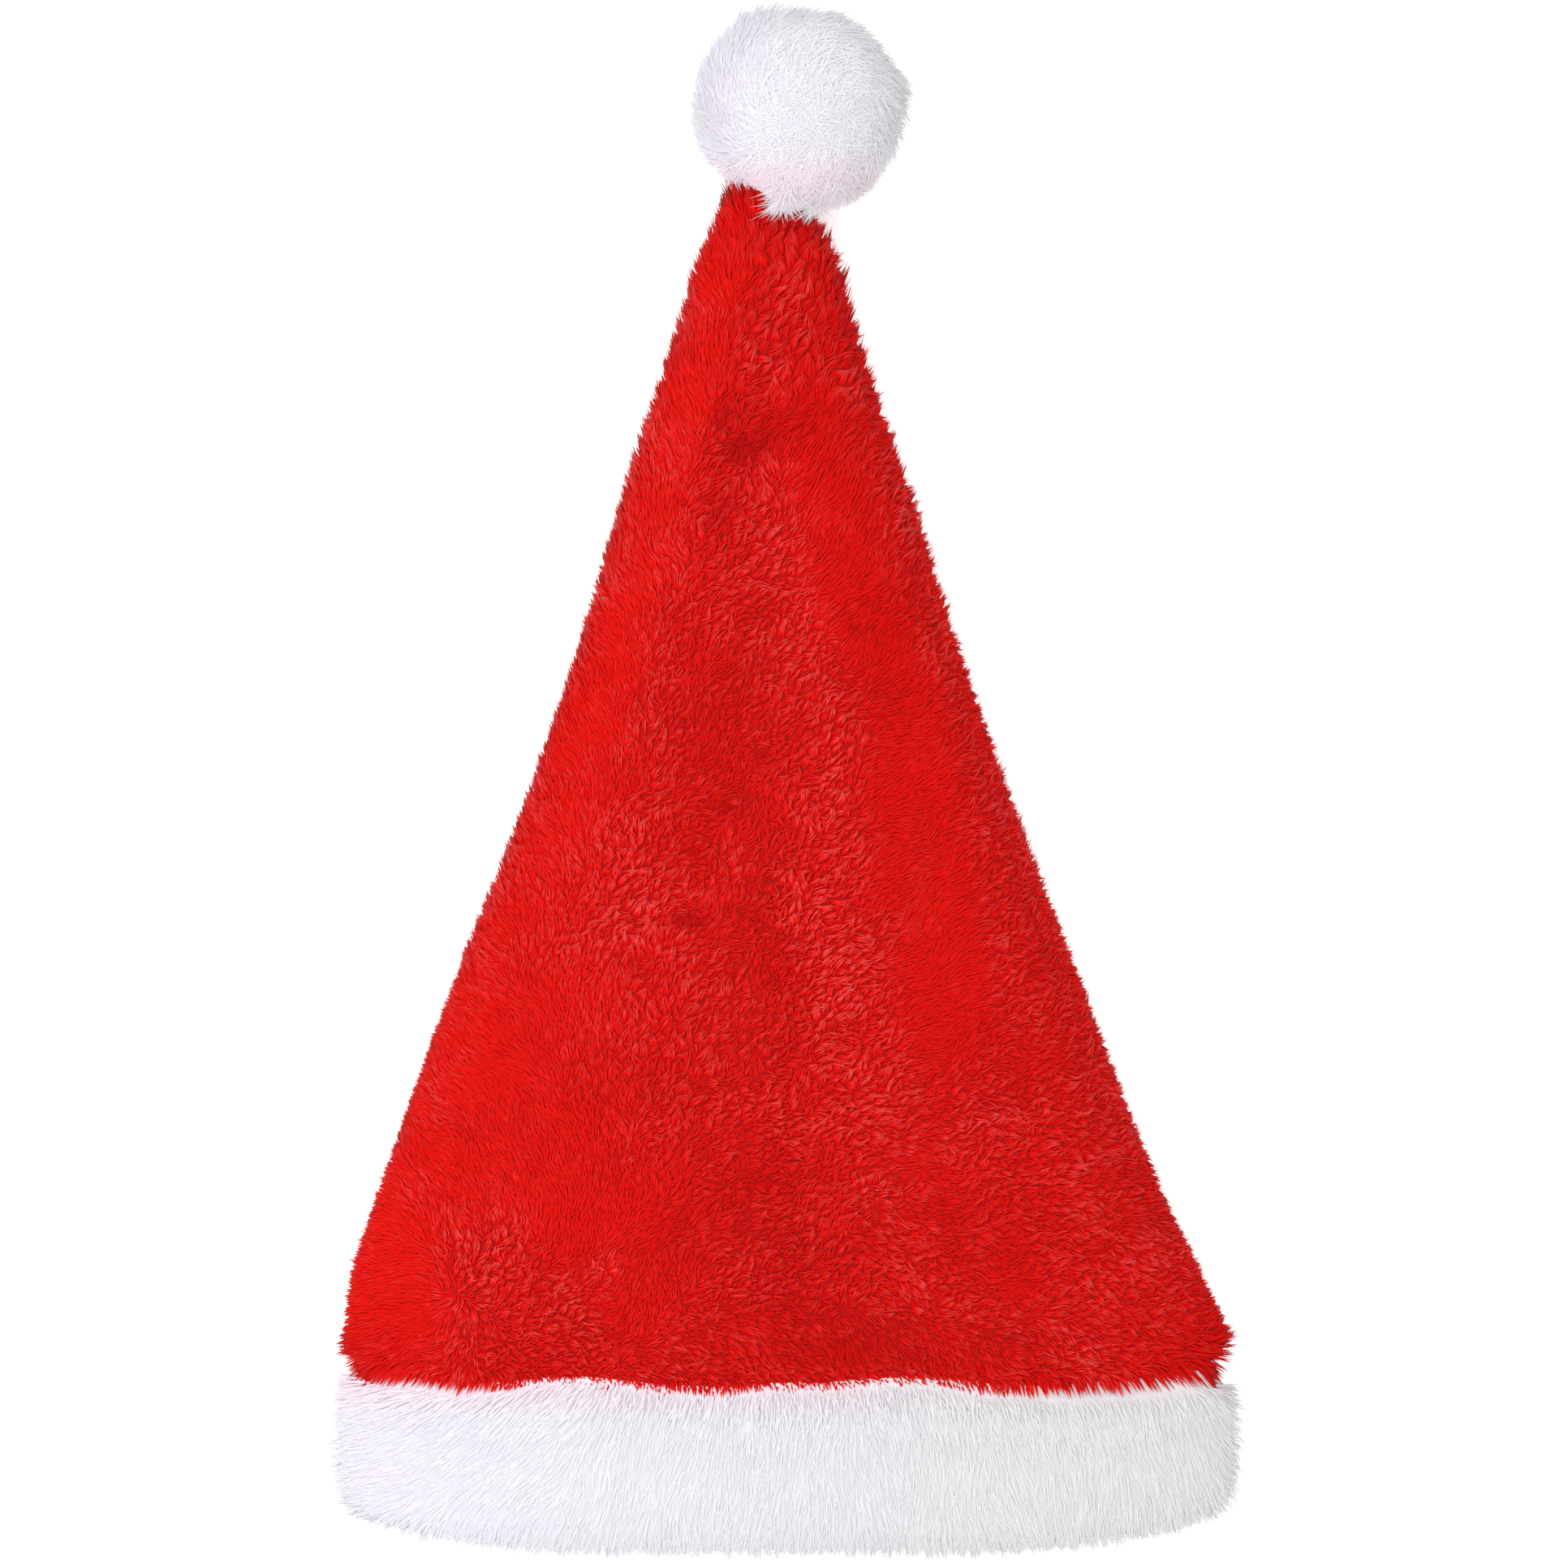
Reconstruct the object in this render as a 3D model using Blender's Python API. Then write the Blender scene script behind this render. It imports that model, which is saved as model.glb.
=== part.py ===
"""A plush santa hat that lies on its back: two crown panels, a fur brim and a fur pompom.

The frame is in metres with +Z up. The hat lies on the plane z = 0, +Y runs from the brim to the
pompom, and +X is to the right of someone who looks down on its front. The origin is on the flat
underside of the crown, about half way along the hat.
"""

import math

import bmesh
import bpy
import numpy as np

# Driving sizes of the crown, in metres
CROWN_WIDTH = 0.271
CROWN_LENGTH = 0.367
CROWN_HEIGHT = 0.044
CLOTH = 0.003
SEAM_GROOVE = 0.0016
LEVEL_RUN = 0.075
ORIGIN_TO_SEAM = 0.185

# Driving sizes of the brim
BRIM_HEIGHT = 0.0505
FUR = 0.0142
MOUTH_HEIGHT = 0.024
SEAM_BOW = 0.005
RIM_RISE = 0.010

# Driving sizes of the pompom and of the locks of both furs
POMPOM_DIAMETER = 0.067
BRIM_LOCK = 0.0025
POMPOM_LOCK = 0.0045
CLEARANCE = 0.0003

# Places of the side seams round a section, in degrees from the widest line on the right
SEAM_RIGHT = 22.0
SEAM_LEFT = 190.0
SEAM_SPREAD = 9.0

# How full the upper half of a section is: 1 would be an ellipse, less is fuller
SIDE_FULLNESS = 0.70
TOP_FULLNESS = 0.85

# Where a section's flat underside starts, in degrees round from its widest line, and the
# largest share of the half width that the roll of cloth beside it takes
FLAT_START = 45.0
ROLL_SHARE = 0.8

# The pompom's middle: from the middle of the crown's tip to the right and forwards, and up from
# the floor, in shares of its radius. Its locks lean towards the end of its axis.
POMPOM_ASIDE = 0.34
POMPOM_BEYOND = 0.74
POMPOM_RAISED = 0.88
POMPOM_AXIS = (0.30, 0.90, 0.32)

# How finely the pieces are faceted
FRONT_STEPS = 26
BACK_STEPS = 20
CROWN_ROWS = 28
TIP_ROWS = 5
LOCK_STEPS = 3
BRIM_LOCKS = 38
POMPOM_LOCKS = 16
POMPOM_LOCK_ROWS = 8

# One row for each section of the crown, from the brim seam to the tip.
# along is a share of the crown's length, left and right of half its width,
# and top, edge (its widest line) and low (its underside) of its height.
SECTION_COLUMNS = ("along", "left", "right", "top", "edge", "low")
SECTIONS = (
    (0.000, 0.955, 0.955, 1.00, 0.45, 0.00),
    (0.031, 0.994, 1.000, 1.00, 0.45, 0.00),
    (0.072, 0.990, 0.962, 1.00, 0.44, 0.00),
    (0.140, 0.938, 0.876, 0.99, 0.42, 0.00),
    (0.208, 0.877, 0.803, 0.96, 0.40, 0.00),
    (0.344, 0.746, 0.666, 0.88, 0.37, 0.00),
    (0.481, 0.600, 0.526, 0.80, 0.34, 0.00),
    (0.617, 0.474, 0.398, 0.72, 0.32, 0.00),
    (0.753, 0.365, 0.283, 0.65, 0.30, 0.00),
    (0.890, 0.241, 0.157, 0.58, 0.30, 0.00),
    (0.950, 0.188, 0.112, 0.55, 0.31, 0.04),
    (0.980, 0.150, 0.066, 0.53, 0.32, 0.09),
    (1.000, 0.120, 0.020, 0.51, 0.32, 0.13),
)

# One row for each dent (depth above 0) or swelling (below 0) of the front panel.
# across is a share of the half width at that place, along of the crown's length,
# wide of its width, long of its length and depth of its height. turn is in degrees.
FOLD_COLUMNS = ("across", "along", "wide", "long", "turn", "depth")
FOLDS = (
    (-0.14, 0.38, 0.060, 0.170, 4.0, 0.10),
    (0.24, 0.42, 0.090, 0.160, -6.0, -0.07),
    (-0.52, 0.39, 0.035, 0.035, 0.0, 0.06),
    (-0.80, 0.39, 0.030, 0.025, 0.0, 0.05),
    (-0.30, 0.76, 0.030, 0.035, 20.0, 0.07),
    (0.45, 0.77, 0.045, 0.040, 10.0, -0.05),
    (0.05, 0.10, 0.160, 0.045, 0.0, -0.04),
    (-0.55, 0.16, 0.100, 0.080, 30.0, 0.06),
    (0.55, 0.20, 0.080, 0.110, -20.0, 0.05),
    (0.10, 0.62, 0.050, 0.050, 35.0, 0.06),
)

# One row for each point of the brim's cross-section, once round it.
# out is a share of the fur's thickness, up of the brim's height and lock of a lock's length.
PROFILE_COLUMNS = ("out", "up", "lock")
PROFILE = (
    (0.00, 0.10, 0.0),
    (0.00, 0.55, 0.0),
    (0.00, 1.00, 0.0),
    (0.30, 1.00, 0.0),
    (0.62, 0.99, 0.3),
    (0.86, 0.94, 0.6),
    (0.97, 0.85, 0.9),
    (1.00, 0.73, 1.0),
    (1.00, 0.61, 1.0),
    (1.00, 0.49, 1.0),
    (1.00, 0.37, 1.0),
    (0.98, 0.25, 1.0),
    (0.92, 0.14, 1.0),
    (0.76, 0.05, 1.0),
    (0.45, 0.01, 0.8),
    (0.14, 0.03, 0.2),
)

RED = (0.62, 0.012, 0.012, 1.0)
WHITE = (0.86, 0.86, 0.88, 1.0)


def column(table, names, name, at=None):
    """One column of a table, or its value on a smooth curve through the rows."""
    values = np.array([row[names.index(name)] for row in table])
    if at is None:
        return values
    places = np.array([row[names.index("along")] for row in table])
    slopes = np.gradient(values, places)
    row = np.clip(np.searchsorted(places, at, side="right") - 1, 0, len(places) - 2)
    step = places[row + 1] - places[row]
    t = (at - places[row]) / step
    start = (1 + 2 * t) * (1 - t) ** 2 * values[row] + t * (1 - t) ** 2 * step * slopes[row]
    end = t ** 2 * (3 - 2 * t) * values[row + 1] + t ** 2 * (t - 1) * step * slopes[row + 1]
    return start + end


def ease(value):
    """Run from 0 to 1 with level ends."""
    value = np.clip(value, 0, 1)
    return value * value * (3 - 2 * value)


def power(value, exponent):
    """Raise to a power and keep the sign."""
    return np.sign(value) * np.abs(value) ** exponent


def crown_section(along):
    """Sizes of the crown's section at each share of its length, levelled out from the brim's fur."""
    level = ease(along * CROWN_LENGTH / LEVEL_RUN)
    at_seam = {
        "top": FUR + MOUTH_HEIGHT + CLOTH,
        "edge": FUR + MOUTH_HEIGHT / 2,
        "low": FUR - CLOTH,
    }
    section = {"y": along * CROWN_LENGTH - ORIGIN_TO_SEAM}
    for side in ("left", "right"):
        section[side] = column(SECTIONS, SECTION_COLUMNS, side, along) * CROWN_WIDTH / 2
    for name, seam_height in at_seam.items():
        height = column(SECTIONS, SECTION_COLUMNS, name, along) * CROWN_HEIGHT
        section[name] = seam_height + (height - seam_height) * level
    return section


def oval(degrees, section, inset):
    """x and z of a section's loop, moved inwards by inset.

    Above its widest line it is a full oval. Below it the cloth rolls under in an arc and then
    lies flat.
    """
    turn = np.mod(degrees, 360)
    angle = np.radians(turn)
    left = section["left"] - inset
    right = section["right"] - inset
    half = (left + right) / 2
    rise = section["top"] - inset - section["edge"]
    drop = section["edge"] - section["low"] - inset
    upper_x = half * power(np.cos(angle), SIDE_FULLNESS)
    upper_z = section["edge"] + rise * power(np.maximum(np.sin(angle), 0), TOP_FULLNESS)
    under = np.clip(np.minimum(turn - 180, 360 - turn), 0, 90)
    roll = np.radians(np.clip(under / FLAT_START, 0, 1) * 90)
    slide = np.clip((under - FLAT_START) / (90 - FLAT_START), 0, 1)
    arc = np.minimum(drop, half * ROLL_SHARE)
    lower_x = half - arc * (1 - np.cos(roll)) - (half - arc) * slide
    lower_z = section["edge"] - drop * np.sin(roll)
    above = turn <= 180
    x = (right - left) / 2 + np.where(above, upper_x, np.sign(np.cos(angle)) * lower_x)
    z = np.where(above, upper_z, lower_z)
    return x, np.maximum(z, 0)


def bow(degrees, along):
    """How far the seam with the brim curves up towards the hat's sides, fading along the crown."""
    return SEAM_BOW * np.cos(np.radians(degrees)) ** 2 * np.clip(1 - along, 0, 1) ** 4


def fold_drop(x, along, section):
    """How far the folds lower the front panel at each point, gentle towards the side seams."""
    middle = (section["right"] - section["left"]) / 2
    half = (section["right"] + section["left"]) / 2
    across = (x - middle) / half
    drop = np.zeros_like(x)
    for row in FOLDS:
        fold = dict(zip(FOLD_COLUMNS, row))
        side = (across - fold["across"]) * half
        forward = (along - fold["along"]) * CROWN_LENGTH
        turn = math.radians(fold["turn"])
        u = (side * math.cos(turn) + forward * math.sin(turn)) / (fold["wide"] * CROWN_WIDTH)
        v = (forward * math.cos(turn) - side * math.sin(turn)) / (fold["long"] * CROWN_LENGTH)
        drop += fold["depth"] * CROWN_HEIGHT * np.exp(-(u * u + v * v))
    return drop * np.clip(1.5 * (1 - np.abs(across)), 0, 1)


def crown_surface(degrees, along, inset):
    """Points of the crown at every pair of an angle round it and a place along it."""
    degrees, along = np.meshgrid(degrees, along, indexing="ij")
    section = crown_section(along)
    groove = np.zeros_like(degrees)
    for seam in (SEAM_RIGHT, SEAM_LEFT, SEAM_RIGHT + 360):
        groove += SEAM_GROOVE * np.exp(-((degrees - seam) / SEAM_SPREAD) ** 2)
    outer_x, _ = oval(degrees, section, groove)
    x, z = oval(degrees, section, groove + inset)
    y = section["y"] + bow(degrees, along)
    front = np.clip(np.sin(np.radians(degrees)) * 3, 0, 1)
    z = z - fold_drop(outer_x, along, section) * front
    return np.stack([x, y, z], axis=-1)


def part_edges(points):
    """Draw both side edges of a panel back by half the clearance, towards its own middle."""
    for edge, beside in ((0, 1), (-1, -2)):
        inward = points[beside] - points[edge]
        length = np.linalg.norm(inward, axis=-1, keepdims=True)
        points[edge] += inward / length * CLEARANCE / 2
    return points


def quads(first, across, along, flip):
    """Faces of a grid of points that is numbered from first on, row by row."""
    column_index, row_index = np.meshgrid(np.arange(across - 1), np.arange(along - 1), indexing="ij")
    corner = (first + column_index * along + row_index).ravel()
    faces = np.stack([corner, corner + along, corner + along + 1, corner + 1], axis=-1)
    return faces[:, ::-1] if flip else faces


def add_material(mesh, name, colour):
    """Give a mesh its own rough material."""
    material = bpy.data.materials.new(name)
    material.use_nodes = True
    shader = material.node_tree.nodes["Principled BSDF"]
    shader.inputs["Base Color"].default_value = colour
    shader.inputs["Roughness"].default_value = 0.9
    shader.inputs["Metallic"].default_value = 0.0
    mesh.materials.append(material)


def add_object(name, mesh, collection):
    """Put a mesh in a collection as an object, shaded smooth."""
    mesh.shade_smooth()
    piece = bpy.data.objects.new(name, mesh)
    collection.objects.link(piece)
    return piece


def mesh_from(name, points, faces):
    """A mesh from arrays of points and faces, with its faces turned outwards."""
    mesh = bpy.data.meshes.new(name)
    mesh.from_pydata(points.tolist(), [], faces)
    shape = bmesh.new()
    shape.from_mesh(mesh)
    bmesh.ops.recalc_face_normals(shape, faces=shape.faces)
    shape.to_mesh(mesh)
    shape.free()
    return mesh


def crown_rows():
    """Places of the section rows along the crown, closer together at both ends."""
    even = np.linspace(0, 1, CROWN_ROWS + 1)
    return 0.3 * even + 0.7 * (1 - np.cos(math.pi * even)) / 2


def crown_panel(name, start, end, steps, collection):
    """One plush panel: its outer and inner faces, joined by a rim all round."""
    degrees = np.linspace(start, end, steps + 1)
    along = crown_rows()
    outer = part_edges(crown_surface(degrees, along, 0))
    inner = part_edges(crown_surface(degrees, along, CLOTH))
    across_count, along_count = outer.shape[:2]
    count = across_count * along_count
    faces = quads(0, across_count, along_count, False).tolist()
    faces += quads(count, across_count, along_count, True).tolist()
    grid = np.arange(count).reshape(across_count, along_count)
    border = np.concatenate([grid[:-1, 0], grid[-1, :-1], grid[:0:-1, -1], grid[0, :0:-1]])
    after = np.roll(border, -1)
    faces += np.stack([border, border + count, after + count, after], axis=-1).tolist()
    points = np.concatenate([outer.reshape(-1, 3), inner.reshape(-1, 3)])
    mesh = mesh_from(name, points, faces)
    add_material(mesh, name + "_plush", RED)
    return add_object(name, mesh, collection)


def lock_pattern(steps_round, steps_down, seed):
    """How far each point of a fur grid stands out, from 0 in a parting to 1 at a lock's tip.

    Each lock is three steps wide and three long. It rises towards its tip, and every second
    column of locks starts half a lock further on.
    """
    chance = np.random.default_rng(seed)
    across, down = np.meshgrid(np.arange(steps_round), np.arange(steps_down), indexing="ij")
    lock_column = across // LOCK_STEPS
    shifted = down + (lock_column % 2) * (LOCK_STEPS // 2 + 1)
    size = chance.uniform(0.65, 1.0, (lock_column.max() + 1, shifted.max() // LOCK_STEPS + 1))
    ridge = np.array([0.0, 1.0, 0.6])[across % LOCK_STEPS]
    reach = np.array([0.25, 0.65, 1.0])[shifted % LOCK_STEPS]
    return ridge * reach * size[lock_column, shifted // LOCK_STEPS]


def even_angles(section, inset, count):
    """Angles that part a section's loop into equal lengths."""
    fine = np.linspace(0, 360, 1441)
    x, z = oval(fine, section, np.full_like(fine, inset))
    run = np.concatenate([[0], np.cumsum(np.hypot(np.diff(x), np.diff(z)))])
    return np.interp(np.arange(count) / count * run[-1], run, fine)


def brim(collection):
    """The fur band: its cross-section carried round the same loop as the crown's lower edge."""
    seam = crown_section(np.array(0.0))
    out = column(PROFILE, PROFILE_COLUMNS, "out")
    up = column(PROFILE, PROFILE_COLUMNS, "up")
    lock = column(PROFILE, PROFILE_COLUMNS, "lock")
    angles = even_angles(seam, CLOTH - FUR, BRIM_LOCKS * LOCK_STEPS)
    degrees, out = np.meshgrid(angles, out, indexing="ij")
    stand = lock * lock_pattern(len(angles), len(up), 3)
    reach = out * (FUR - BRIM_LOCK) + stand * BRIM_LOCK
    x, z = oval(degrees, seam, CLOTH - reach)
    side = np.abs(np.cos(np.radians(degrees)))
    under = np.clip(-2 * np.sin(np.radians(degrees)), 0, 1)
    z = np.maximum(z - BRIM_LOCK * under * np.clip(out * 3 - 1, 0, 1), 0)
    y = -ORIGIN_TO_SEAM - CLEARANCE - BRIM_HEIGHT * (1 - up)
    y = y + bow(degrees, 0) * up + RIM_RISE * side ** 3 * (1 - up)
    y = y - BRIM_LOCK * stand * np.clip(1.4 - up, 0, 1)
    points = np.stack([x, y, z], axis=-1).reshape(-1, 3)
    grid = np.arange(len(points)).reshape(len(angles), len(up))
    beside = np.roll(grid, -1, axis=0)
    faces = np.stack([grid, beside, np.roll(beside, -1, axis=1), np.roll(grid, -1, axis=1)], axis=-1)
    mesh = mesh_from("brim", points, faces.reshape(-1, 4).tolist())
    add_material(mesh, "brim_fur", WHITE)
    return add_object("brim", mesh, collection)


def tip_cutter(collection):
    """The closed outer form of the crown's last stretch, with the clearance all round."""
    front = np.linspace(SEAM_RIGHT, SEAM_LEFT, FRONT_STEPS + 1)
    back = np.linspace(SEAM_LEFT, SEAM_RIGHT + 360, BACK_STEPS + 1)
    degrees = np.concatenate([front[:-1], back[:-1]])
    along = crown_rows()[-TIP_ROWS:]
    points = crown_surface(degrees, along, -CLEARANCE)
    points[:, -1, 1] += CLEARANCE
    around_count, along_count = points.shape[:2]
    grid = np.arange(around_count * along_count).reshape(around_count, along_count)
    beside = np.roll(grid, -1, axis=0)
    faces = np.stack([grid[:, :-1], beside[:, :-1], beside[:, 1:], grid[:, 1:]], axis=-1)
    faces = faces.reshape(-1, 4).tolist() + [grid[:, 0].tolist(), grid[::-1, -1].tolist()]
    cutter = add_object("tip_cutter", mesh_from("tip_cutter", points.reshape(-1, 3), faces), collection)
    cutter.hide_render = True
    cutter.display_type = "WIRE"
    return cutter


def pompom(cutter, collection):
    """The fur ball: locks that lean away from the tip, flat where it rests, with a seat for the tip."""
    tip = crown_section(np.array(1.0))
    radius = POMPOM_DIAMETER / 2
    tip_x = (tip["right"] - tip["left"]) / 2
    centre = np.array([tip_x, tip["y"], 0]) + radius * np.array([POMPOM_ASIDE, POMPOM_BEYOND, POMPOM_RAISED])
    steps_round = POMPOM_LOCKS * LOCK_STEPS
    steps_down = POMPOM_LOCK_ROWS * LOCK_STEPS
    shape = bmesh.new()
    bmesh.ops.create_uvsphere(shape, u_segments=steps_round, v_segments=steps_down, radius=1)
    ball = np.array([vertex.co for vertex in shape.verts])
    round_share = np.mod(np.arctan2(ball[:, 1], ball[:, 0]) / (2 * math.pi), 1)
    down_share = np.arccos(np.clip(ball[:, 2], -1, 1)) / math.pi
    pattern = lock_pattern(steps_round, steps_down + 1, 5)
    round_index = np.round(round_share * steps_round).astype(int) % steps_round
    down_index = steps_down - np.round(down_share * steps_down).astype(int)
    stand = pattern[round_index, down_index] * np.sin(down_share * math.pi) ** 0.5
    towards_end = np.array([[0.0, 0.0, 1.0]]) - ball * ball[:, 2:3]
    reach = radius - POMPOM_LOCK * (1 - stand)
    ball = ball * reach[:, None] + towards_end * (POMPOM_LOCK * stand)[:, None]
    axis = np.array(POMPOM_AXIS) / np.linalg.norm(POMPOM_AXIS)
    side = np.cross([0, 0, 1.0], axis)
    side = side / np.linalg.norm(side)
    frame = np.stack([side, np.cross(axis, side), axis])
    ball = ball @ frame + centre
    ball[:, 2] = np.maximum(ball[:, 2], 0)
    for vertex, place in zip(shape.verts, ball):
        vertex.co = place
    bmesh.ops.recalc_face_normals(shape, faces=shape.faces)
    mesh = bpy.data.meshes.new("pompom")
    shape.to_mesh(mesh)
    shape.free()
    add_material(mesh, "pompom_fur", WHITE)
    piece = add_object("pompom", mesh, collection)
    seat = piece.modifiers.new("tip_seat", "BOOLEAN")
    seat.operation = "DIFFERENCE"
    seat.object = cutter
    return piece


def build():
    """Clear the scene and make the four pieces."""
    for old in list(bpy.data.objects):
        bpy.data.objects.remove(old)
    pieces = bpy.data.collections.new("santa_hat")
    cutters = bpy.data.collections.new("cutters")
    for collection in (pieces, cutters):
        bpy.context.scene.collection.children.link(collection)
    crown_panel("crown_front", SEAM_RIGHT, SEAM_LEFT, FRONT_STEPS, pieces)
    crown_panel("crown_back", SEAM_LEFT, SEAM_RIGHT + 360, BACK_STEPS, pieces)
    brim(pieces)
    pompom(tip_cutter(cutters), pieces)


build()
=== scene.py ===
# %% [markdown]
# A plush santa hat lies flat on its back, and the camera looks straight down on it. The real hat is
# sewn from two red plush triangles, a band of white fur round the opening and a white fur ball at
# the tip. Plush and fur are cloth with fibres standing on it. So each piece is made twice here: a
# smooth body gives the form, and thousands of small closed strands that grow from it give the pile.

# %% Load the frame
import math

import bpy
import numpy as np
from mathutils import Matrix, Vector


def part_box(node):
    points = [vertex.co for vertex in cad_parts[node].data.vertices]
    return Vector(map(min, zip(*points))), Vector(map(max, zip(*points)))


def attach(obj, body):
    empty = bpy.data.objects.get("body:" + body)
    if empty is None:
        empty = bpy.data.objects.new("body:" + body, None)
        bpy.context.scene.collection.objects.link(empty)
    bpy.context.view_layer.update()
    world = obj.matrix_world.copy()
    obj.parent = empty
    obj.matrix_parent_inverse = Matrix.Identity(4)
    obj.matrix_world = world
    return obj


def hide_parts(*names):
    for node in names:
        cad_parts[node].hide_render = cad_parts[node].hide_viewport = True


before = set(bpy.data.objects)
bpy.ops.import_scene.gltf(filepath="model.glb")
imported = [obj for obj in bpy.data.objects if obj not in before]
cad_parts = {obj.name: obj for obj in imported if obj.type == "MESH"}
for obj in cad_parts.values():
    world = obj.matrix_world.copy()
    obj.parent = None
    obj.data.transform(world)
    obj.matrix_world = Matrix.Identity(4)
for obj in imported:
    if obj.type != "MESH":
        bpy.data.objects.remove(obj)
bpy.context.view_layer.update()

# %% [markdown]
# Every size starts from the solids. The crown's length and width are read from their boxes, and the
# heights repeat the solids' own driving sizes. Lengths are in metres and angles in degrees. Round a
# section of the hat, 0 degrees is its right side, 90 its top, 180 its left side and 270 its back.

# %% Sizes of the solids
front_low, front_high = [np.array(corner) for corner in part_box("crown_front")]
back_low, back_high = [np.array(corner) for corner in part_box("crown_back")]
WIDEST_SHARE = 0.997
CROWN_LENGTH = front_high[1] - front_low[1]
CROWN_WIDTH = (max(front_high[0], back_high[0]) - min(front_low[0], back_low[0])) / WIDEST_SHARE
ORIGIN_TO_SEAM = -front_low[1]
CROWN_HEIGHT = 0.044
CLOTH = 0.003
SEAM_GROOVE = 0.0016
LEVEL_RUN = 0.075
BRIM_HEIGHT = 0.0505
FUR = 0.0142
MOUTH_HEIGHT = 0.024
SEAM_BOW = 0.005
RIM_RISE = 0.010
CLEARANCE = 0.0003
SEAM_RIGHT = 22.0
SEAM_LEFT = 190.0
SEAM_SPREAD = 9.0
SIDE_FULLNESS = 0.70
TOP_FULLNESS = 0.85
FLAT_START = 45.0
ROLL_SHARE = 0.8
print("crown", round(CROWN_WIDTH, 4), "by", round(CROWN_LENGTH, 4))

# %% [markdown]
# The crown tapers from the brim to the tip. A short table holds its sections as shares of the named
# sizes, and a smooth curve runs through the rows. A second table holds the dents and swellings that
# a soft cone has when it lies on its back.

# %% Tables of the crown's form
SECTION_COLUMNS = ("along", "left", "right", "top", "edge", "low")
SECTIONS = (
    (0.000, 0.955, 0.955, 1.00, 0.45, 0.00),
    (0.031, 0.994, 1.000, 1.00, 0.45, 0.00),
    (0.072, 0.990, 0.962, 1.00, 0.44, 0.00),
    (0.140, 0.938, 0.876, 0.99, 0.42, 0.00),
    (0.208, 0.877, 0.803, 0.96, 0.40, 0.00),
    (0.344, 0.746, 0.666, 0.88, 0.37, 0.00),
    (0.481, 0.600, 0.526, 0.80, 0.34, 0.00),
    (0.617, 0.474, 0.398, 0.72, 0.32, 0.00),
    (0.753, 0.365, 0.283, 0.65, 0.30, 0.00),
    (0.890, 0.241, 0.157, 0.58, 0.30, 0.00),
    (0.950, 0.188, 0.112, 0.55, 0.31, 0.04),
    (0.980, 0.150, 0.066, 0.53, 0.32, 0.09),
    (1.000, 0.120, 0.020, 0.51, 0.32, 0.13),
)
FOLD_COLUMNS = ("across", "along", "wide", "long", "turn", "depth")
FOLDS = (
    (-0.14, 0.38, 0.060, 0.170, 4.0, 0.10),
    (0.24, 0.42, 0.090, 0.160, -6.0, -0.07),
    (-0.52, 0.39, 0.035, 0.035, 0.0, 0.06),
    (-0.80, 0.39, 0.030, 0.025, 0.0, 0.05),
    (-0.30, 0.76, 0.030, 0.035, 20.0, 0.07),
    (0.45, 0.77, 0.045, 0.040, 10.0, -0.05),
    (0.05, 0.10, 0.160, 0.045, 0.0, -0.04),
    (-0.55, 0.16, 0.100, 0.080, 30.0, 0.06),
    (0.55, 0.20, 0.080, 0.110, -20.0, 0.05),
    (0.10, 0.62, 0.050, 0.050, 35.0, 0.06),
)


def column(table, names, name):
    """One column of a table as an array."""
    return np.array([row[names.index(name)] for row in table])


def between_rows(table, at):
    """A table's second column on straight lines between its rows, at places in its first."""
    places, values = np.array(table).T
    return np.interp(at, places, values)


def through_rows(name, at):
    """A size of the sections on a smooth curve: each row is met with its mean slope."""
    values = column(SECTIONS, SECTION_COLUMNS, name)
    places = column(SECTIONS, SECTION_COLUMNS, "along")
    slopes = np.gradient(values, places)
    row = np.clip(np.searchsorted(places, at, side="right") - 1, 0, len(places) - 2)
    step = places[row + 1] - places[row]
    t = (at - places[row]) / step
    start = (1 + 2 * t) * (1 - t) ** 2 * values[row] + t * (1 - t) ** 2 * step * slopes[row]
    end = t ** 2 * (3 - 2 * t) * values[row + 1] + t ** 2 * (t - 1) * step * slopes[row + 1]
    return start + end


print(len(SECTIONS), "sections and", len(FOLDS), "folds")

# %% [markdown]
# One function of two numbers gives the whole crown: the angle round the hat and the share of the way
# along it. A third number moves the point inwards, so the same function gives the plush's ground
# cloth and its inner face.

# %% The crown as a surface


def ease(value):
    """Run from 0 to 1 with level ends: three squares less two cubes."""
    value = np.clip(value, 0, 1)
    return value * value * (3 - 2 * value)


def power(value, exponent):
    """Raise to a power and keep the sign."""
    return np.sign(value) * np.abs(value) ** exponent


def bell(aside, forward, turn, wide, long):
    """A turned bell curve: e to minus the sum of u squared and v squared.

    u and v are the distances across and along the turned patch, over its width and its length.
    """
    turn = math.radians(turn)
    u = (aside * math.cos(turn) + forward * math.sin(turn)) / wide
    v = (forward * math.cos(turn) - aside * math.sin(turn)) / long
    return np.exp(-(u * u + v * v))


def crown_section(along):
    """Sizes of the section at each share of the length, levelled out from the height of the brim."""
    level = ease(along * CROWN_LENGTH / LEVEL_RUN)
    at_seam = {
        "top": FUR + MOUTH_HEIGHT + CLOTH,
        "edge": FUR + MOUTH_HEIGHT / 2,
        "low": FUR - CLOTH,
    }
    section = {"y": along * CROWN_LENGTH - ORIGIN_TO_SEAM}
    for side in ("left", "right"):
        section[side] = through_rows(side, along) * CROWN_WIDTH / 2
    for name, seam_height in at_seam.items():
        height = through_rows(name, along) * CROWN_HEIGHT
        section[name] = seam_height + (height - seam_height) * level
    return section


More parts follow.
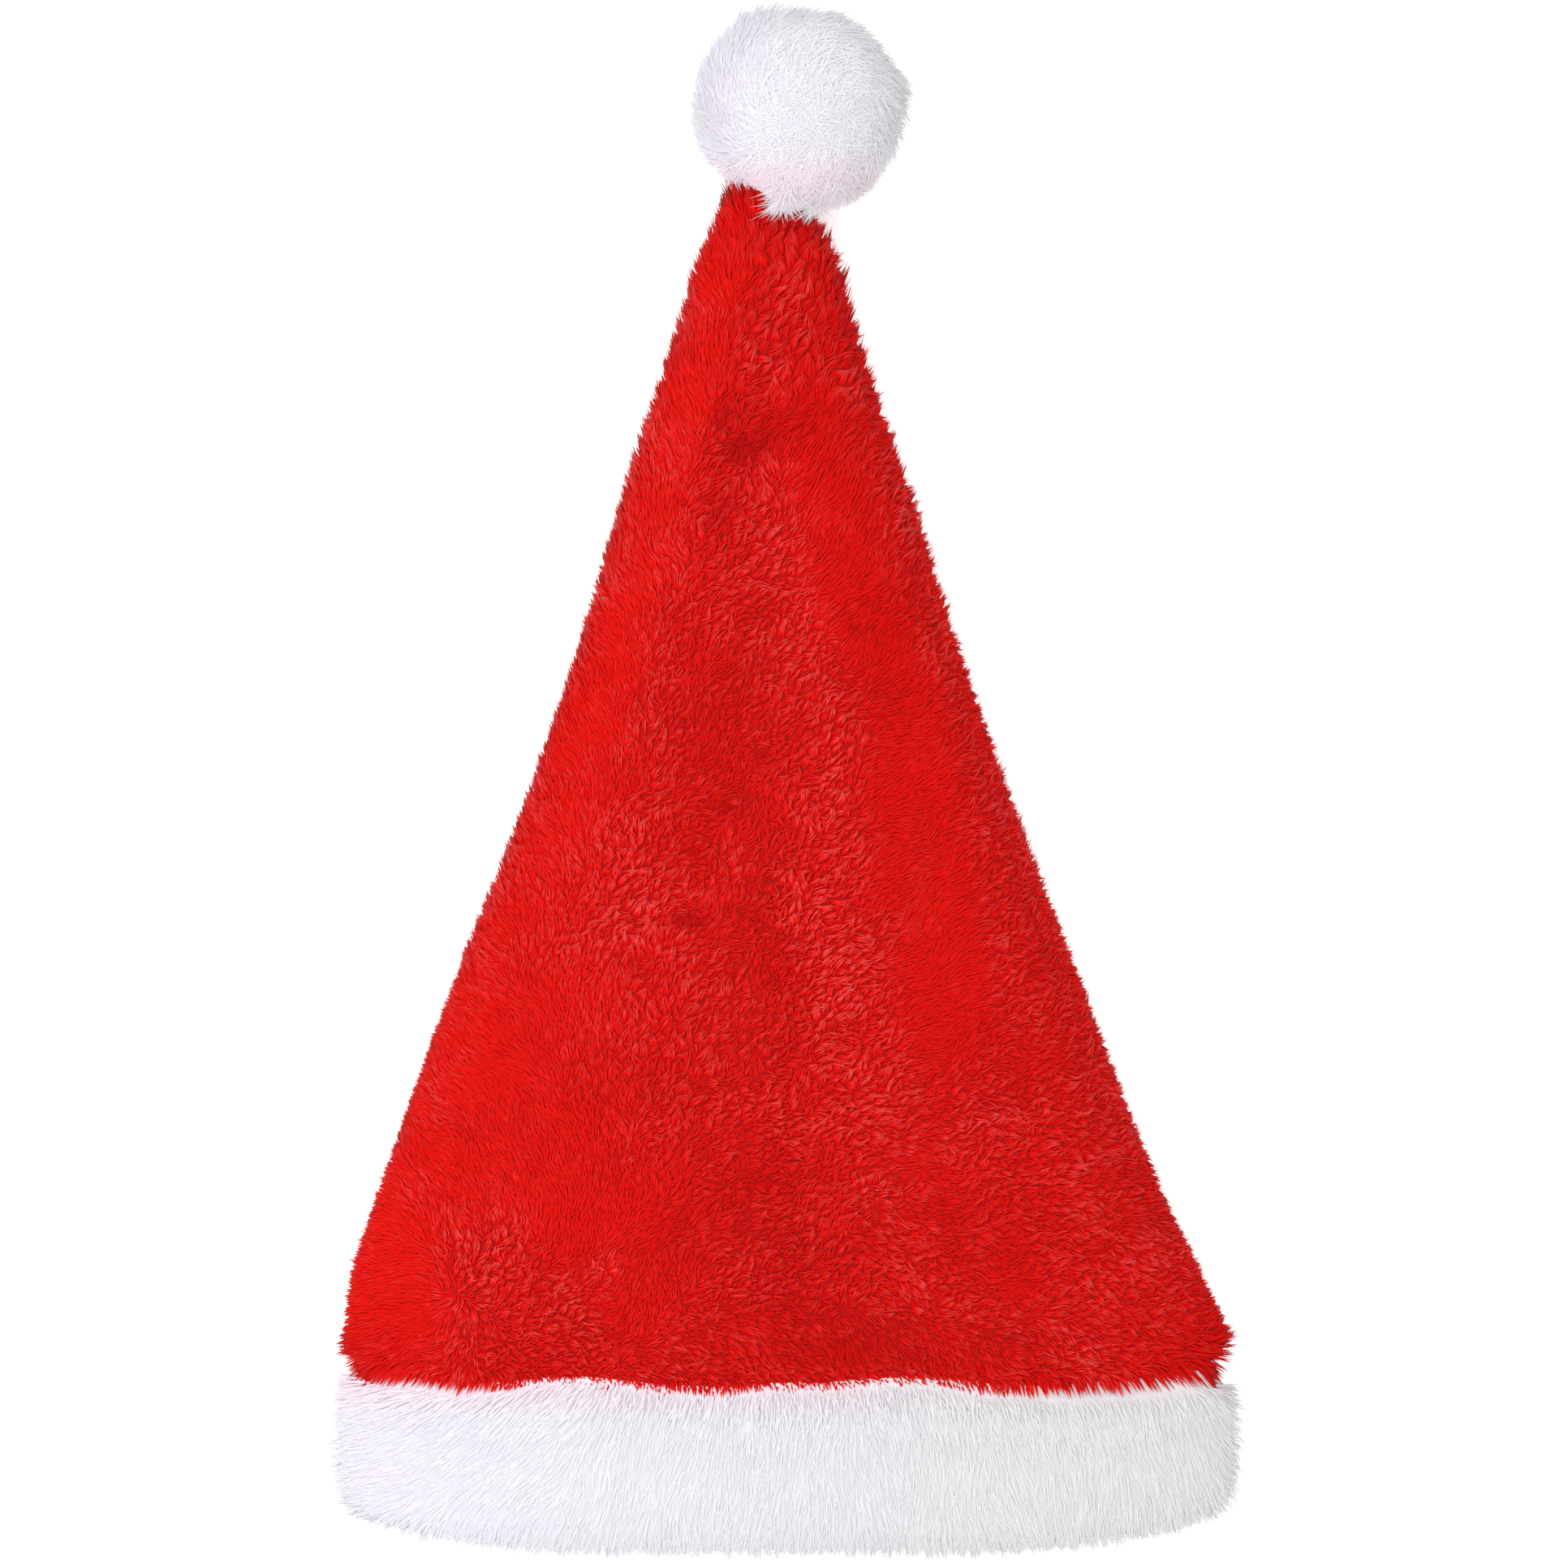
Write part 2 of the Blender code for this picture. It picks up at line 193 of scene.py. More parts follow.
def oval(degrees, section, inset):
    """x and z of a section: above its widest line a full oval, below it an arc and then a flat.

    The oval's x is the half width times the cosine to a power, its z the rise times the sine to a
    power. inset moves the loop inwards.
    """
    turn = np.mod(degrees, 360)
    angle = np.radians(turn)
    left = section["left"] - inset
    right = section["right"] - inset
    half = (left + right) / 2
    rise = section["top"] - inset - section["edge"]
    drop = section["edge"] - section["low"] - inset
    upper_x = half * power(np.cos(angle), SIDE_FULLNESS)
    upper_z = section["edge"] + rise * power(np.maximum(np.sin(angle), 0), TOP_FULLNESS)
    under = np.clip(np.minimum(turn - 180, 360 - turn), 0, 90)
    roll = np.radians(np.clip(under / FLAT_START, 0, 1) * 90)
    slide = np.clip((under - FLAT_START) / (90 - FLAT_START), 0, 1)
    arc = np.minimum(drop, half * ROLL_SHARE)
    lower_x = half - arc * (1 - np.cos(roll)) - (half - arc) * slide
    lower_z = section["edge"] - drop * np.sin(roll)
    above = turn <= 180
    x = (right - left) / 2 + np.where(above, upper_x, np.sign(np.cos(angle)) * lower_x)
    z = np.where(above, upper_z, lower_z)
    return x, np.maximum(z, 0)


def bow(degrees, along):
    """How far the seam with the brim curves up to the sides: the cosine squared, fading along."""
    return SEAM_BOW * np.cos(np.radians(degrees)) ** 2 * np.clip(1 - along, 0, 1) ** 4


def fold_drop(x, along, section):
    """How far the folds lower the front: a sum of turned bell curves, gentle towards the sides."""
    middle = (section["right"] - section["left"]) / 2
    half = (section["right"] + section["left"]) / 2
    across = (x - middle) / half
    drop = np.zeros_like(x)
    for row in FOLDS:
        fold = dict(zip(FOLD_COLUMNS, row))
        side = (across - fold["across"]) * half
        forward = (along - fold["along"]) * CROWN_LENGTH
        reach = (fold["wide"] * CROWN_WIDTH, fold["long"] * CROWN_LENGTH)
        drop += fold["depth"] * CROWN_HEIGHT * bell(side, forward, fold["turn"], *reach)
    return drop * np.clip(1.5 * (1 - np.abs(across)), 0, 1)


def crown_surface(degrees, along, inset):
    """Points of the crown at every pair of an angle and a place along it, moved inwards by inset."""
    degrees, along = np.meshgrid(degrees, along, indexing="ij")
    section = crown_section(along)
    groove = np.zeros_like(degrees)
    for seam in (SEAM_RIGHT, SEAM_LEFT, SEAM_RIGHT + 360):
        groove += SEAM_GROOVE * np.exp(-((degrees - seam) / SEAM_SPREAD) ** 2)
    outer_x, _ = oval(degrees, section, groove)
    x, z = oval(degrees, section, groove + inset)
    y = section["y"] + bow(degrees, along)
    front = np.clip(np.sin(np.radians(degrees)) * 3, 0, 1)
    z = z - fold_drop(outer_x, along, section) * front
    return np.stack([x, y, z], axis=-1)


def along_rows(count):
    """Places along the crown, closer together at both ends."""
    even = np.linspace(0, 1, count)
    return 0.3 * even + 0.7 * (1 - np.cos(math.pi * even)) / 2


print("top of the crown", round(float(crown_surface([90.0], along_rows(40), 0)[..., 2].max()), 4))

# %% [markdown]
# Meshes come from whole arrays. A surface is a grid of points, and its faces join neighbours in the
# grid. A helper gives each piece its material, its place in the frame and its name.

# %% Helpers that make pieces


def grid_faces(grid, wrap_first=False, wrap_second=False):
    """Quads between neighbours of a grid of point numbers, closed round where a direction wraps."""
    if wrap_first:
        grid = np.concatenate([grid, grid[:1]])
    if wrap_second:
        grid = np.concatenate([grid, grid[:, :1]], axis=1)
    corners = (grid[:-1, :-1], grid[:-1, 1:], grid[1:, 1:], grid[1:, :-1])
    return np.stack([corner.ravel() for corner in corners], axis=-1)


def volume_inside(points, triangles):
    """Volume within closed triangles that face outwards: the sum of their signed wedges."""
    a, b, c = (points[triangles[:, corner]] for corner in range(3))
    return float(np.einsum("ij,ij->i", a, np.cross(b, c)).sum() / 6)


def halves(quads):
    """Two triangles for each quad."""
    return np.concatenate([quads[:, [0, 1, 2]], quads[:, [0, 2, 3]]])


def new_object(name, data):
    """An object in the scene that holds some data."""
    made = bpy.data.objects.new(name, data)
    bpy.context.scene.collection.objects.link(made)
    return made


def add_piece(name, points, faces, material):
    """A smooth piece from arrays of points and faces that rides on the hat's one body."""
    mesh = bpy.data.meshes.new(name)
    mesh.from_pydata(points, [], faces)
    mesh.shade_smooth()
    mesh.materials.append(material)
    piece = new_object(name, mesh)
    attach(piece, "root")
    return piece


def give_attribute(piece, name, values):
    """A number at each point of a piece, for its finish."""
    layer = piece.data.attributes.new(name, "FLOAT", "POINT")
    layer.data.foreach_set("value", values.astype(np.float32).ravel())


def unit(vectors):
    """Vectors of length one."""
    return vectors / np.maximum(np.linalg.norm(vectors, axis=-1, keepdims=True), 1e-12)


def level(x, y):
    """Level vectors with these x and y."""
    return np.stack([x, y, np.zeros_like(x)], axis=-1)


def along_cloth(ways, out):
    """What is left of each vector when its part along out is taken away."""
    return ways - out * np.einsum("ij,ij->i", ways, out)[:, None]


print("helpers ready")

# %% [markdown]
# Materials are written as sums. A Wire is a socket, and an expression on wires adds the Math nodes
# that work it out, so 1 - mask is a node too. Everything else comes from one method, node.

# %% Shader expressions


class Wire:
    """One output socket of a finish. Operators on it add Math nodes."""

    def __init__(self, finish, socket):
        self.finish = finish
        self.socket = socket

    def math(self, operation, *numbers):
        return self.finish.node("ShaderNodeMath", {"operation": operation}, dict(enumerate(numbers)))

    def __add__(self, other):
        return self.math("ADD", self, other)

    def __sub__(self, other):
        return self.math("SUBTRACT", self, other)

    def __rsub__(self, other):
        return self.math("SUBTRACT", other, self)

    def __mul__(self, other):
        return self.math("MULTIPLY", self, other)

    __radd__ = __add__
    __rmul__ = __mul__

    def between(self, low, high):
        """0 up to low, 1 from high on and a smooth step between them."""
        ends = {"Value": self, "From Min": low, "From Max": high}
        return self.finish.node("ShaderNodeMapRange", {"interpolation_type": "SMOOTHSTEP"}, ends)


class Finish:
    """A material with a Principled shader, and the method that adds any node to it."""

    def __init__(self, name, **plain):
        self.material = bpy.data.materials.new(name)
        self.material.use_nodes = True
        self.tree = self.material.node_tree
        self.shader = self.tree.nodes["Principled BSDF"]
        for socket, value in plain.items():
            self.shader.inputs[socket.replace("_", " ")].default_value = value

    def node(self, kind, settings=None, sockets=None, output=0):
        """Add a node: its settings first, then a value or a wire for each named or numbered socket."""
        made = self.tree.nodes.new(kind)
        for name, value in (settings or {}).items():
            setattr(made, name, value)
        for name, value in (sockets or {}).items():
            self.plug(made.inputs[name], value)
        return Wire(self, made.outputs[output])

    def plug(self, socket, value):
        """Give a socket a wire or a plain value."""
        if isinstance(value, Wire):
            self.tree.links.new(value.socket, socket)
        else:
            socket.default_value = value

    def feed(self, value, *names):
        """Give a wire or a plain value to inputs of the shader."""
        for name in names:
            self.plug(self.shader.inputs[name], value)

    def colour(self, share, first, second):
        """The colour that is a share of the way from the first to the second."""
        sockets = {0: share, 6: first, 7: second}
        return self.node("ShaderNodeMix", {"data_type": "RGBA"}, sockets, 2)

    def attribute(self, name):
        """A number that the mesh holds at each of its points."""
        return self.node("ShaderNodeAttribute", {"attribute_name": name}, {}, "Fac")

    def noise(self, scale, detail=2.0):
        """Soft spots whose size is about one over scale, in metres, fixed to the object."""
        place = self.node("ShaderNodeTexCoord", {}, {}, "Object")
        return self.node("ShaderNodeTexNoise", {}, {"Vector": place, "Scale": scale, "Detail": detail})

    def axis(self, name):
        """X, Y or Z of the place on the object."""
        place = self.node("ShaderNodeTexCoord", {}, {}, "Object")
        return self.node("ShaderNodeSeparateXYZ", {}, {0: place}, name)

    def bump(self, height, distance, strength=1.0):
        """Turn a height into a relief on the shader's normal."""
        sockets = {"Height": height, "Distance": distance, "Strength": strength}
        self.feed(self.node("ShaderNodeBump", {}, sockets), "Normal")


print("finish ready")

# %% [markdown]
# The red pile is dyed polyester, a deep saturated red on the fibres' sides. Down between the fibres
# the shade is painted into the colour, and where tufts stand apart a pinkish highlight is painted on
# their tips. Where a hand has brushed the pile smooth it closes up, and the painted highlight and the
# painted shade grow weaker. Each strand carries those facts as attributes: its share of the way to
# the tip, a chance number, how smoothly it is brushed and the painted light of its patch, which is
# painted shade below 0. One strand stands for a lock of several fibres, so painted shade lies in
# stripes across it, between its fibres.

# %% Red finishes
RED_SHADE = (0.42, 0.0010, 0.0010, 1)
RED_SIDE = (0.78, 0.004, 0.002, 1)
RED_TIP_HIGHLIGHT = (0.94, 0.105, 0.100, 1)
# The ground cloth is a darker red than the strands: painted shade down between them.
RED_GROUND = (0.62, 0.003, 0.002, 1)
KNIT_STITCH = 0.0011
FIBRES = 2.5


def red_pile():
    """Strands of the plush: saturated red, with painted shade at the root and a pink painted highlight on
    the tips of tufts.
    """
    sheen = {"Sheen_Weight": 0.06, "Sheen_Roughness": 0.45, "Sheen_Tint": (1.0, 0.45, 0.45, 1)}
    finish = Finish("red_pile", Roughness=0.7, Specular_IOR_Level=0.08, **sheen)
    tip = finish.attribute("tip_share")
    chance = finish.attribute("chance")
    smooth = finish.attribute("smooth")
    painted_light = finish.attribute("painted_light")
    # Painted shade at the roots: darker towards the root, less where the pile is brushed smooth.
    side = finish.colour(tip.between(-0.3, 0.6) + smooth * 0.3, RED_SHADE, RED_SIDE)
    spots = finish.noise(45.0).between(0.3, 0.7)
    # A pink painted highlight on the tips of loose tufts, stronger where the patch's painted light is
    # high.
    lit = tip.between(0.1, 0.9) * (0.10 + 0.9 * chance) * (1 - 0.7 * smooth)
    pink = lit * (0.60 + 0.6 * painted_light + 0.35 * spots)
    highlighted = finish.colour(pink.between(0.1, 1.1), side, RED_TIP_HIGHLIGHT)
    # Painted shade in stripes between the fibres of a lock, and deeper where the patch's painted light is
    # below 0.
    stripe = finish.attribute("across") * (FIBRES * 2 * math.pi) + chance * 40.0
    fibres = stripe.math("SINE", stripe)
    painted_shade = (0.36 - 0.34 * chance - 0.6 * painted_light + 0.14 * fibres).between(0.0, 1.0)
    finish.feed(finish.colour(painted_shade, highlighted, RED_SHADE), "Base Color")
    return finish.material


def red_cloth():
    """Ground cloth of the plush: a fine knit in red, painted darker as shade down between the strands,
    lighter where the pile is brushed smooth.
    """
    finish = Finish("red_cloth", Roughness=0.9, Specular_IOR_Level=0.15, Sheen_Weight=0.1)
    place = finish.node("ShaderNodeUVMap", {"uv_map": "cloth"})
    row = finish.node("ShaderNodeSeparateXYZ", {}, {0: place}, "Y")
    wale = finish.node("ShaderNodeSeparateXYZ", {}, {0: place}, "X")
    turns = 2 * math.pi / KNIT_STITCH
    rows = (row * turns).math("SINE", row * turns)
    wales = (wale * turns).math("SINE", wale * turns + rows * 0.9)
    stitch = (rows * wales).between(-0.8, 0.8)
    spots = finish.noise(60.0).between(0.3, 0.7)
    # Painted shade over the knit and soft spots; under smooth pile it lightens to the fibres' red.
    dark = finish.colour(stitch * 0.5 + spots * 0.4, RED_SHADE, RED_GROUND)
    finish.feed(finish.colour(finish.attribute("smooth"), dark, RED_SIDE), "Base Color")
    finish.bump(stitch, 0.0004)
    return finish.material


RED_PILE = red_pile()
RED_CLOTH = red_cloth()
print("red finishes", RED_PILE.name, RED_CLOTH.name)

# %% [markdown]
# The white fur's colour holds painted light. It is painted lighter and a little blue on the left,
# painted darker in shade and a little green on the right, and a painted pink reflection of the red
# lies next to the red. Light passes through white fibres and on to the next, many more times than a
# render follows it, so a faint plain gleam, a glow of the fur's own colour, stands in for what is
# lost. Each white piece has four places: where the painted light on the left ends, where the painted
# shade on the right begins, where the red is and how far from it the painted reflection reaches.

# %% White finishes
WHITE_LIT_LEFT = (0.610, 0.585, 0.645, 1)
WHITE_SHADED_RIGHT = (0.515, 0.523, 0.520, 1)
WHITE_TIP_HIGHLIGHT = (0.70, 0.70, 0.72, 1)
WHITE_RED_REFLECTION = (0.70, 0.50, 0.57, 1)
WHITE_GLEAM = 0.45
# Painted shade on the under-fur, which lies under the strands.
BODY_SHADE = 0.03
SEAM_Y = -ORIGIN_TO_SEAM
TIP_Y = SEAM_Y + CROWN_LENGTH
BRIM_PLACES = (-0.17, 0.16, SEAM_Y, 0.008)
BALL_PLACES = (-0.030, 0.070, TIP_Y + 0.001, 0.012)


def white_tint(finish, left, right, seam, reach):
    """Colour of white fur at a place: from painted light on the left to painted shade on the right, and a
    painted pink reflection close to the red.
    """
    # Painted light on the left side and painted shade on the right side of the piece.
    across = finish.axis("X").between(left, right)
    cloudy = finish.noise(25.0).between(0.25, 0.75)
    plain = finish.colour(across, WHITE_LIT_LEFT, WHITE_SHADED_RIGHT)
    # A painted pink reflection of the red plush, close to the seam and weaker on the shaded right.
    away = finish.axis("Y") - seam
    near = 1 - away.math("ABSOLUTE", away).between(0.0, reach)
    pink = near * (0.30 + 0.35 * cloudy) * (1 - 0.55 * across)
    return finish.colour(pink, plain, WHITE_RED_REFLECTION)


def white_fur(name, places):
    """Strands of white fur, with a paler painted highlight towards the tips of some."""
    finish = Finish(name, Roughness=0.8, Specular_IOR_Level=0.06, Sheen_Weight=0.05,
                    Emission_Strength=WHITE_GLEAM)
    # A painted highlight on the tips of some strands.
    pale = finish.attribute("tip_share") * finish.attribute("chance") * 0.3
    tint = white_tint(finish, *places)
    finish.feed(finish.colour(pale, tint, WHITE_TIP_HIGHLIGHT), "Base Color", "Emission Color")
    return finish.material


def white_body(name, places):
    """Dense under-fur and backing of the white pieces: darker by a little painted shade, as it lies under
    the strands, with soft streaks.
    """
    finish = Finish(name, Roughness=0.85, Specular_IOR_Level=0.1, Sheen_Weight=0.1,
                    Emission_Strength=WHITE_GLEAM)
    shaded = finish.colour(BODY_SHADE, white_tint(finish, *places), (0, 0, 0, 1))
    finish.feed(shaded, "Base Color", "Emission Color")
    finish.bump(finish.noise(420.0, 3.0), 0.0004)
    return finish.material


BRIM_FUR = white_fur("brim_fur_strands", BRIM_PLACES)
BRIM_BODY = white_body("brim_under_fur", BRIM_PLACES)
BALL_FUR = white_fur("pompom_fur_strands", BALL_PLACES)
BALL_BODY = white_body("pompom_under_fur", BALL_PLACES)
print("white finishes ready")

# %% [markdown]
# Fibres cling together in tufts. Each strand looks for the nearest of many scattered tuft centres
# and leans its tip towards it. A smooth random field bends the direction of the pile a little from
# place to place.

# %% Tufts and soft chance
CHANCE_TABLE = 256


def tufts(across, along, size, seed):
    """Offset to the nearest tuft centre, one centre at a chance place in each square of a plane."""
    chance = np.random.default_rng(seed).uniform(0, 1, (CHANCE_TABLE, CHANCE_TABLE, 3))
    square = np.floor(np.stack([across, along]) / size).astype(int)
    best = np.full(len(across), np.inf)
    offset = np.zeros((2, len(across)))
    number = np.zeros(len(across))
    for step_across in (-1, 0, 1):
        for step_along in (-1, 0, 1):
            cell = square + np.array([[step_across], [step_along]])
            found = chance[cell[0] % CHANCE_TABLE, cell[1] % CHANCE_TABLE]
            away = (cell + found[:, :2].T) * size - np.stack([across, along])
            distance = np.hypot(*away)
            nearer = distance < best
            best = np.where(nearer, distance, best)
            offset = np.where(nearer, away, offset)
            number = np.where(nearer, found[:, 2], number)
    return offset, number


def soft_chance(across, along, size, seed):
    """A smooth random field from -1 to 1: chance values on a grid, eased between neighbours."""
    chance = np.random.default_rng(seed).uniform(-1, 1, (CHANCE_TABLE, CHANCE_TABLE))
    place = np.stack([across, along]) / size
    cell = np.floor(place).astype(int)
    s, t = ease(place - cell)
    i, j = cell % CHANCE_TABLE
    beside_i = (i + 1) % CHANCE_TABLE
    beside_j = (j + 1) % CHANCE_TABLE
    near = chance[i, j] * (1 - t) + chance[i, beside_j] * t
    far = chance[beside_i, j] * (1 - t) + chance[beside_i, beside_j] * t
    return near * (1 - s) + far * s


print("chance tables of", CHANCE_TABLE)

# %% [markdown]
# How the pile lies makes most of the picture. The table holds the patches that hands have brushed:
# where they are and how far they reach in millimetres, how far they are turned, which way the pile
# lies there in degrees from the right, how smooth it is and the painted light it gets there, painted
# highlight above 0 and painted shade below. Between them the pile leans up and to the right in small
# separate tufts.

# %% How the pile lies
BRUSH_COLUMNS = ("x", "y", "wide", "long", "turn", "heading", "smooth", "painted_light")
BRUSHED = (
    (-119, -158, 20, 32, 12, 205, 1.2, 0.2), (-81, -82, 18, 26, -15, 150, 1.1, 0.05),
    (-80, -118, 30, 24, -10, 120, 1.2, 0.05), (-48, -148, 18, 24, 0, 60, 1.2, 0.0),
    (-57, -148, 5, 6, 0, 60, -0.8, 0.35), (-72, -168, 16, 14, 10, -25, -0.9, 0.05),
    (-88, -150, 13, 16, 20, 30, -0.9, 0.2), (-102, -132, 11, 20, 15, 118, 0.0, 0.05),
    (-98, -166, 8, 10, 0, -85, -0.2, 0.0), (-112, -100, 10, 60, -20, 160, 0.6, 0.4),
    (-60, 16, 13, 26, -17, 110, 1.0, 0.1), (-72, -20, 10, 26, -17, 120, 0.6, 0.35),
    (-58, -50, 22, 30, -17, 70, 0.3, 0.25), (-42, 75, 10, 60, -16, 125, 0.8, 0.45),
    (-27, 132, 9, 35, -14, 120, 0.8, 0.4), (-19, 163, 10, 12, 0, 110, 1.0, 0.15),
    (-20, 112, 10, 14, 20, 60, 0.0, -0.45), (-14, 103, 12, 5, 10, 20, 0.0, -0.6),
    (-28, 93, 10, 12, 0, 20, -0.2, 0.3), (-22, 82, 4, 8, 10, 60, 0.0, -0.6),
    (4, 112, 11, 7, 0, 40, 1.1, -0.35), (12, 92, 13, 18, 25, 60, 1.3, 0.0),
    (14, 66, 11, 18, 10, 50, 1.2, -0.1), (26, 46, 10, 20, 20, 40, 1.1, -0.15),
    (38, 10, 12, 30, 8, 30, 1.2, 0.0), (42, -30, 13, 30, 8, 25, 1.2, 0.0),
    (48, -68, 13, 24, 0, 15, 1.2, 0.0), (44, -122, 13, 18, 0, 0, 0.7, 0.0),
    (68, -150, 9, 13, 0, -10, 0.6, -0.15), (6, 30, 10, 40, 6, 45, -0.2, 0.35),
    (14, -30, 11, 40, 2, 45, -0.2, 0.45), (22, -80, 12, 30, 0, 35, -0.2, 0.3),
    (-19, 8, 10, 30, 4, 40, 0.4, -0.3), (-10, -40, 10, 24, 0, 40, 0.2, -0.3),
    (-8, -80, 13, 20, 0, 35, 0.1, -0.25), (-12, -128, 18, 24, 0, 20, 0.0, -0.3),
    (-45, -35, 14, 20, 0, 60, -0.2, 0.2), (-31, -42, 6, 4, 0, 250, 0.0, -0.9),
    (-47, -43, 5, 3, 0, 290, 0.0, -0.6), (38, -146, 13, 10, -20, -35, -0.4, 0.35),
    (86, -120, 20, 30, 15, -15, -0.3, 0.15), (105, -160, 20, 20, 15, -20, 0.1, 0.15),
    (66, -20, 12, 40, 15, 30, -0.2, 0.2), (26, -171, 60, 8, 0, -60, 0.3, -0.35),
    (50, 60, 8, 40, 14, 30, 0.0, 0.15), (3, 150, 14, 22, 0, 70, -0.2, 0.0),
)
USUAL_HEADING = 42.0
USUAL_PULL = 0.25


def brushed(x, y):
    """Heading, smoothness and painted light of the pile: bell curves round the table's patches."""
    usual = math.radians(USUAL_HEADING)
    lie = np.array([[math.cos(usual)], [math.sin(usual)]]) * USUAL_PULL * np.ones_like(x)
    smooth = np.zeros_like(x)
    painted_light = np.zeros_like(x)
    for row in BRUSHED:
        patch = dict(zip(BRUSH_COLUMNS, row))
        middle_x, middle_y, wide, long = np.array(row[:4]) / 1000
        share = bell(x - middle_x, y - middle_y, patch["turn"], wide, long)
        heading = math.radians(patch["heading"])
        lie += share * np.array([[math.cos(heading)], [math.sin(heading)]])
        smooth += share * patch["smooth"]
        painted_light += share * patch["painted_light"]
    return lie / np.hypot(*lie), np.clip(smooth, 0, 1), np.clip(painted_light, -1, 1)


print(len(BRUSHED), "brushed patches")

# %% [markdown]
# The two panels are cloth with a real thickness. Each is a closed shell: an outer grid where the
# pile starts, an inner grid on the solid's inner face, and a rim that joins their edges. Its flat
# size is measured from the grid itself, as a cutter would lay the panel out.

# %% Crown cloth
PILE_DEPTH = 0.0017
PANEL_ROWS = 101


def part_edges(points):
    """Draw both side edges of a panel back by half the clearance, towards its own middle."""
    for edge, beside in ((0, 1), (-1, -2)):
        points[edge] += unit(points[beside] - points[edge]) * CLEARANCE / 2
    return points


def arc_lengths(points):
    """Distance across each row of a grid from the middle of that row."""
    steps = np.linalg.norm(np.diff(points, axis=0), axis=-1)
    run = np.concatenate([np.zeros((1, points.shape[1])), np.cumsum(steps, axis=0)])
    return run - run[points.shape[0] // 2]


def give_cloth_map(piece, across, along):
    """A map in metres over the cloth, for the knit."""
    layer = piece.data.uv_layers.new(name="cloth")
    corners = np.zeros(len(piece.data.loops), dtype=np.int32)
    piece.data.loops.foreach_get("vertex_index", corners)
    layer.data.foreach_set("uv", np.stack([across, along], axis=-1)[corners].ravel())


def crown_cloth(name, node, start, end, steps):
    """One panel of the crown as a closed shell of cloth."""
    degrees = np.linspace(start, end, steps + 1)
    along = along_rows(PANEL_ROWS)
    outer = part_edges(crown_surface(degrees, along, PILE_DEPTH))
    inner = part_edges(crown_surface(degrees, along, CLOTH))
    grid = np.arange(outer.shape[0] * outer.shape[1]).reshape(outer.shape[:2])
    count = grid.size
    border = np.concatenate([grid[:-1, 0], grid[-1, :-1], grid[:0:-1, -1], grid[0, :0:-1]])
    after = np.roll(border, -1)
    rim = np.stack([border, border + count, after + count, after], axis=-1)
    faces = np.concatenate([grid_faces(grid), grid_faces(grid)[:, ::-1] + count, rim[:, ::-1]])
    points = np.concatenate([outer.reshape(-1, 3), inner.reshape(-1, 3)])
    piece = add_piece(name, points, faces, RED_CLOTH)
    arcs = arc_lengths(outer)
    lengths = np.broadcast_to(along * CROWN_LENGTH, arcs.shape)
    give_cloth_map(piece, np.tile(arcs.ravel(), 2), np.tile(lengths.ravel(), 2))
    give_attribute(piece, "smooth", brushed(points[:, 0], points[:, 1])[1])
    widths = arcs[-1] - arcs[0]
    middle = outer[steps // 2]
    length = float(np.linalg.norm(np.diff(middle, axis=0), axis=-1).sum())
    area = float(((widths[1:] + widths[:-1]) / 2 * np.diff(along)).sum() * length)
    print(name, "volume", volume_inside(points, halves(faces)), "flat", widths.max(), length, area)
    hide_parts(node)
    return piece, (float(widths.max()), length), area


FRONT_ANGLES = (SEAM_RIGHT, SEAM_LEFT)
BACK_ANGLES = (SEAM_LEFT, SEAM_RIGHT + 360)
front_cloth, front_flat, front_area = crown_cloth("crown_front_cloth", "crown_front", *FRONT_ANGLES, 64)
back_cloth, back_flat, back_area = crown_cloth("crown_back_cloth", "crown_back", *BACK_ANGLES, 48)

# %% [markdown]
# Strands have to be spread evenly, or bald spots show. Two golden sequences give pairs of numbers
# that never crowd. The sums of the areas of the grid's cells turn each pair into a place, so that
# equal areas get equal numbers of strands. A weight thins them out where nobody looks.

# %% Places for strands
GOLDEN = 1.32471795724474602596


def grid_directions(points):
    """Unit vectors across, along and out of a grid of points, from its neighbours' differences."""
    across = np.gradient(points, axis=0)
    along = np.gradient(points, axis=1)
    return unit(across), unit(along), unit(np.cross(along, across))


def spread(points, weight, count):
    """Fractional grid places, as many in each cell as its share of the weighted area."""
    across = points[1:, :-1] - points[:-1, :-1]
    along = points[:-1, 1:] - points[:-1, :-1]
    area = np.linalg.norm(np.cross(across, along), axis=-1) * (weight[1:, 1:] + weight[:-1, :-1]) / 2
    rows = np.concatenate([[0], np.cumsum(area.sum(axis=0))])
    number = np.arange(count)
    first = np.mod(0.5 + number / GOLDEN, 1) * rows[-1]
    second = np.mod(0.5 + number / GOLDEN ** 2, 1)
    row_place = np.interp(first, rows, np.arange(len(rows)))
    row = np.minimum(row_place.astype(int), area.shape[1] - 1)
    sums = np.concatenate([np.zeros((1, area.shape[1])), np.cumsum(area, axis=0)])
    sums = sums / sums[-1] + np.arange(area.shape[1])
    flat = sums.T.ravel()
    place = np.interp(second + row, flat, np.arange(flat.size))
    return np.clip(place - row * len(sums), 0, len(sums) - 1.001), row_place


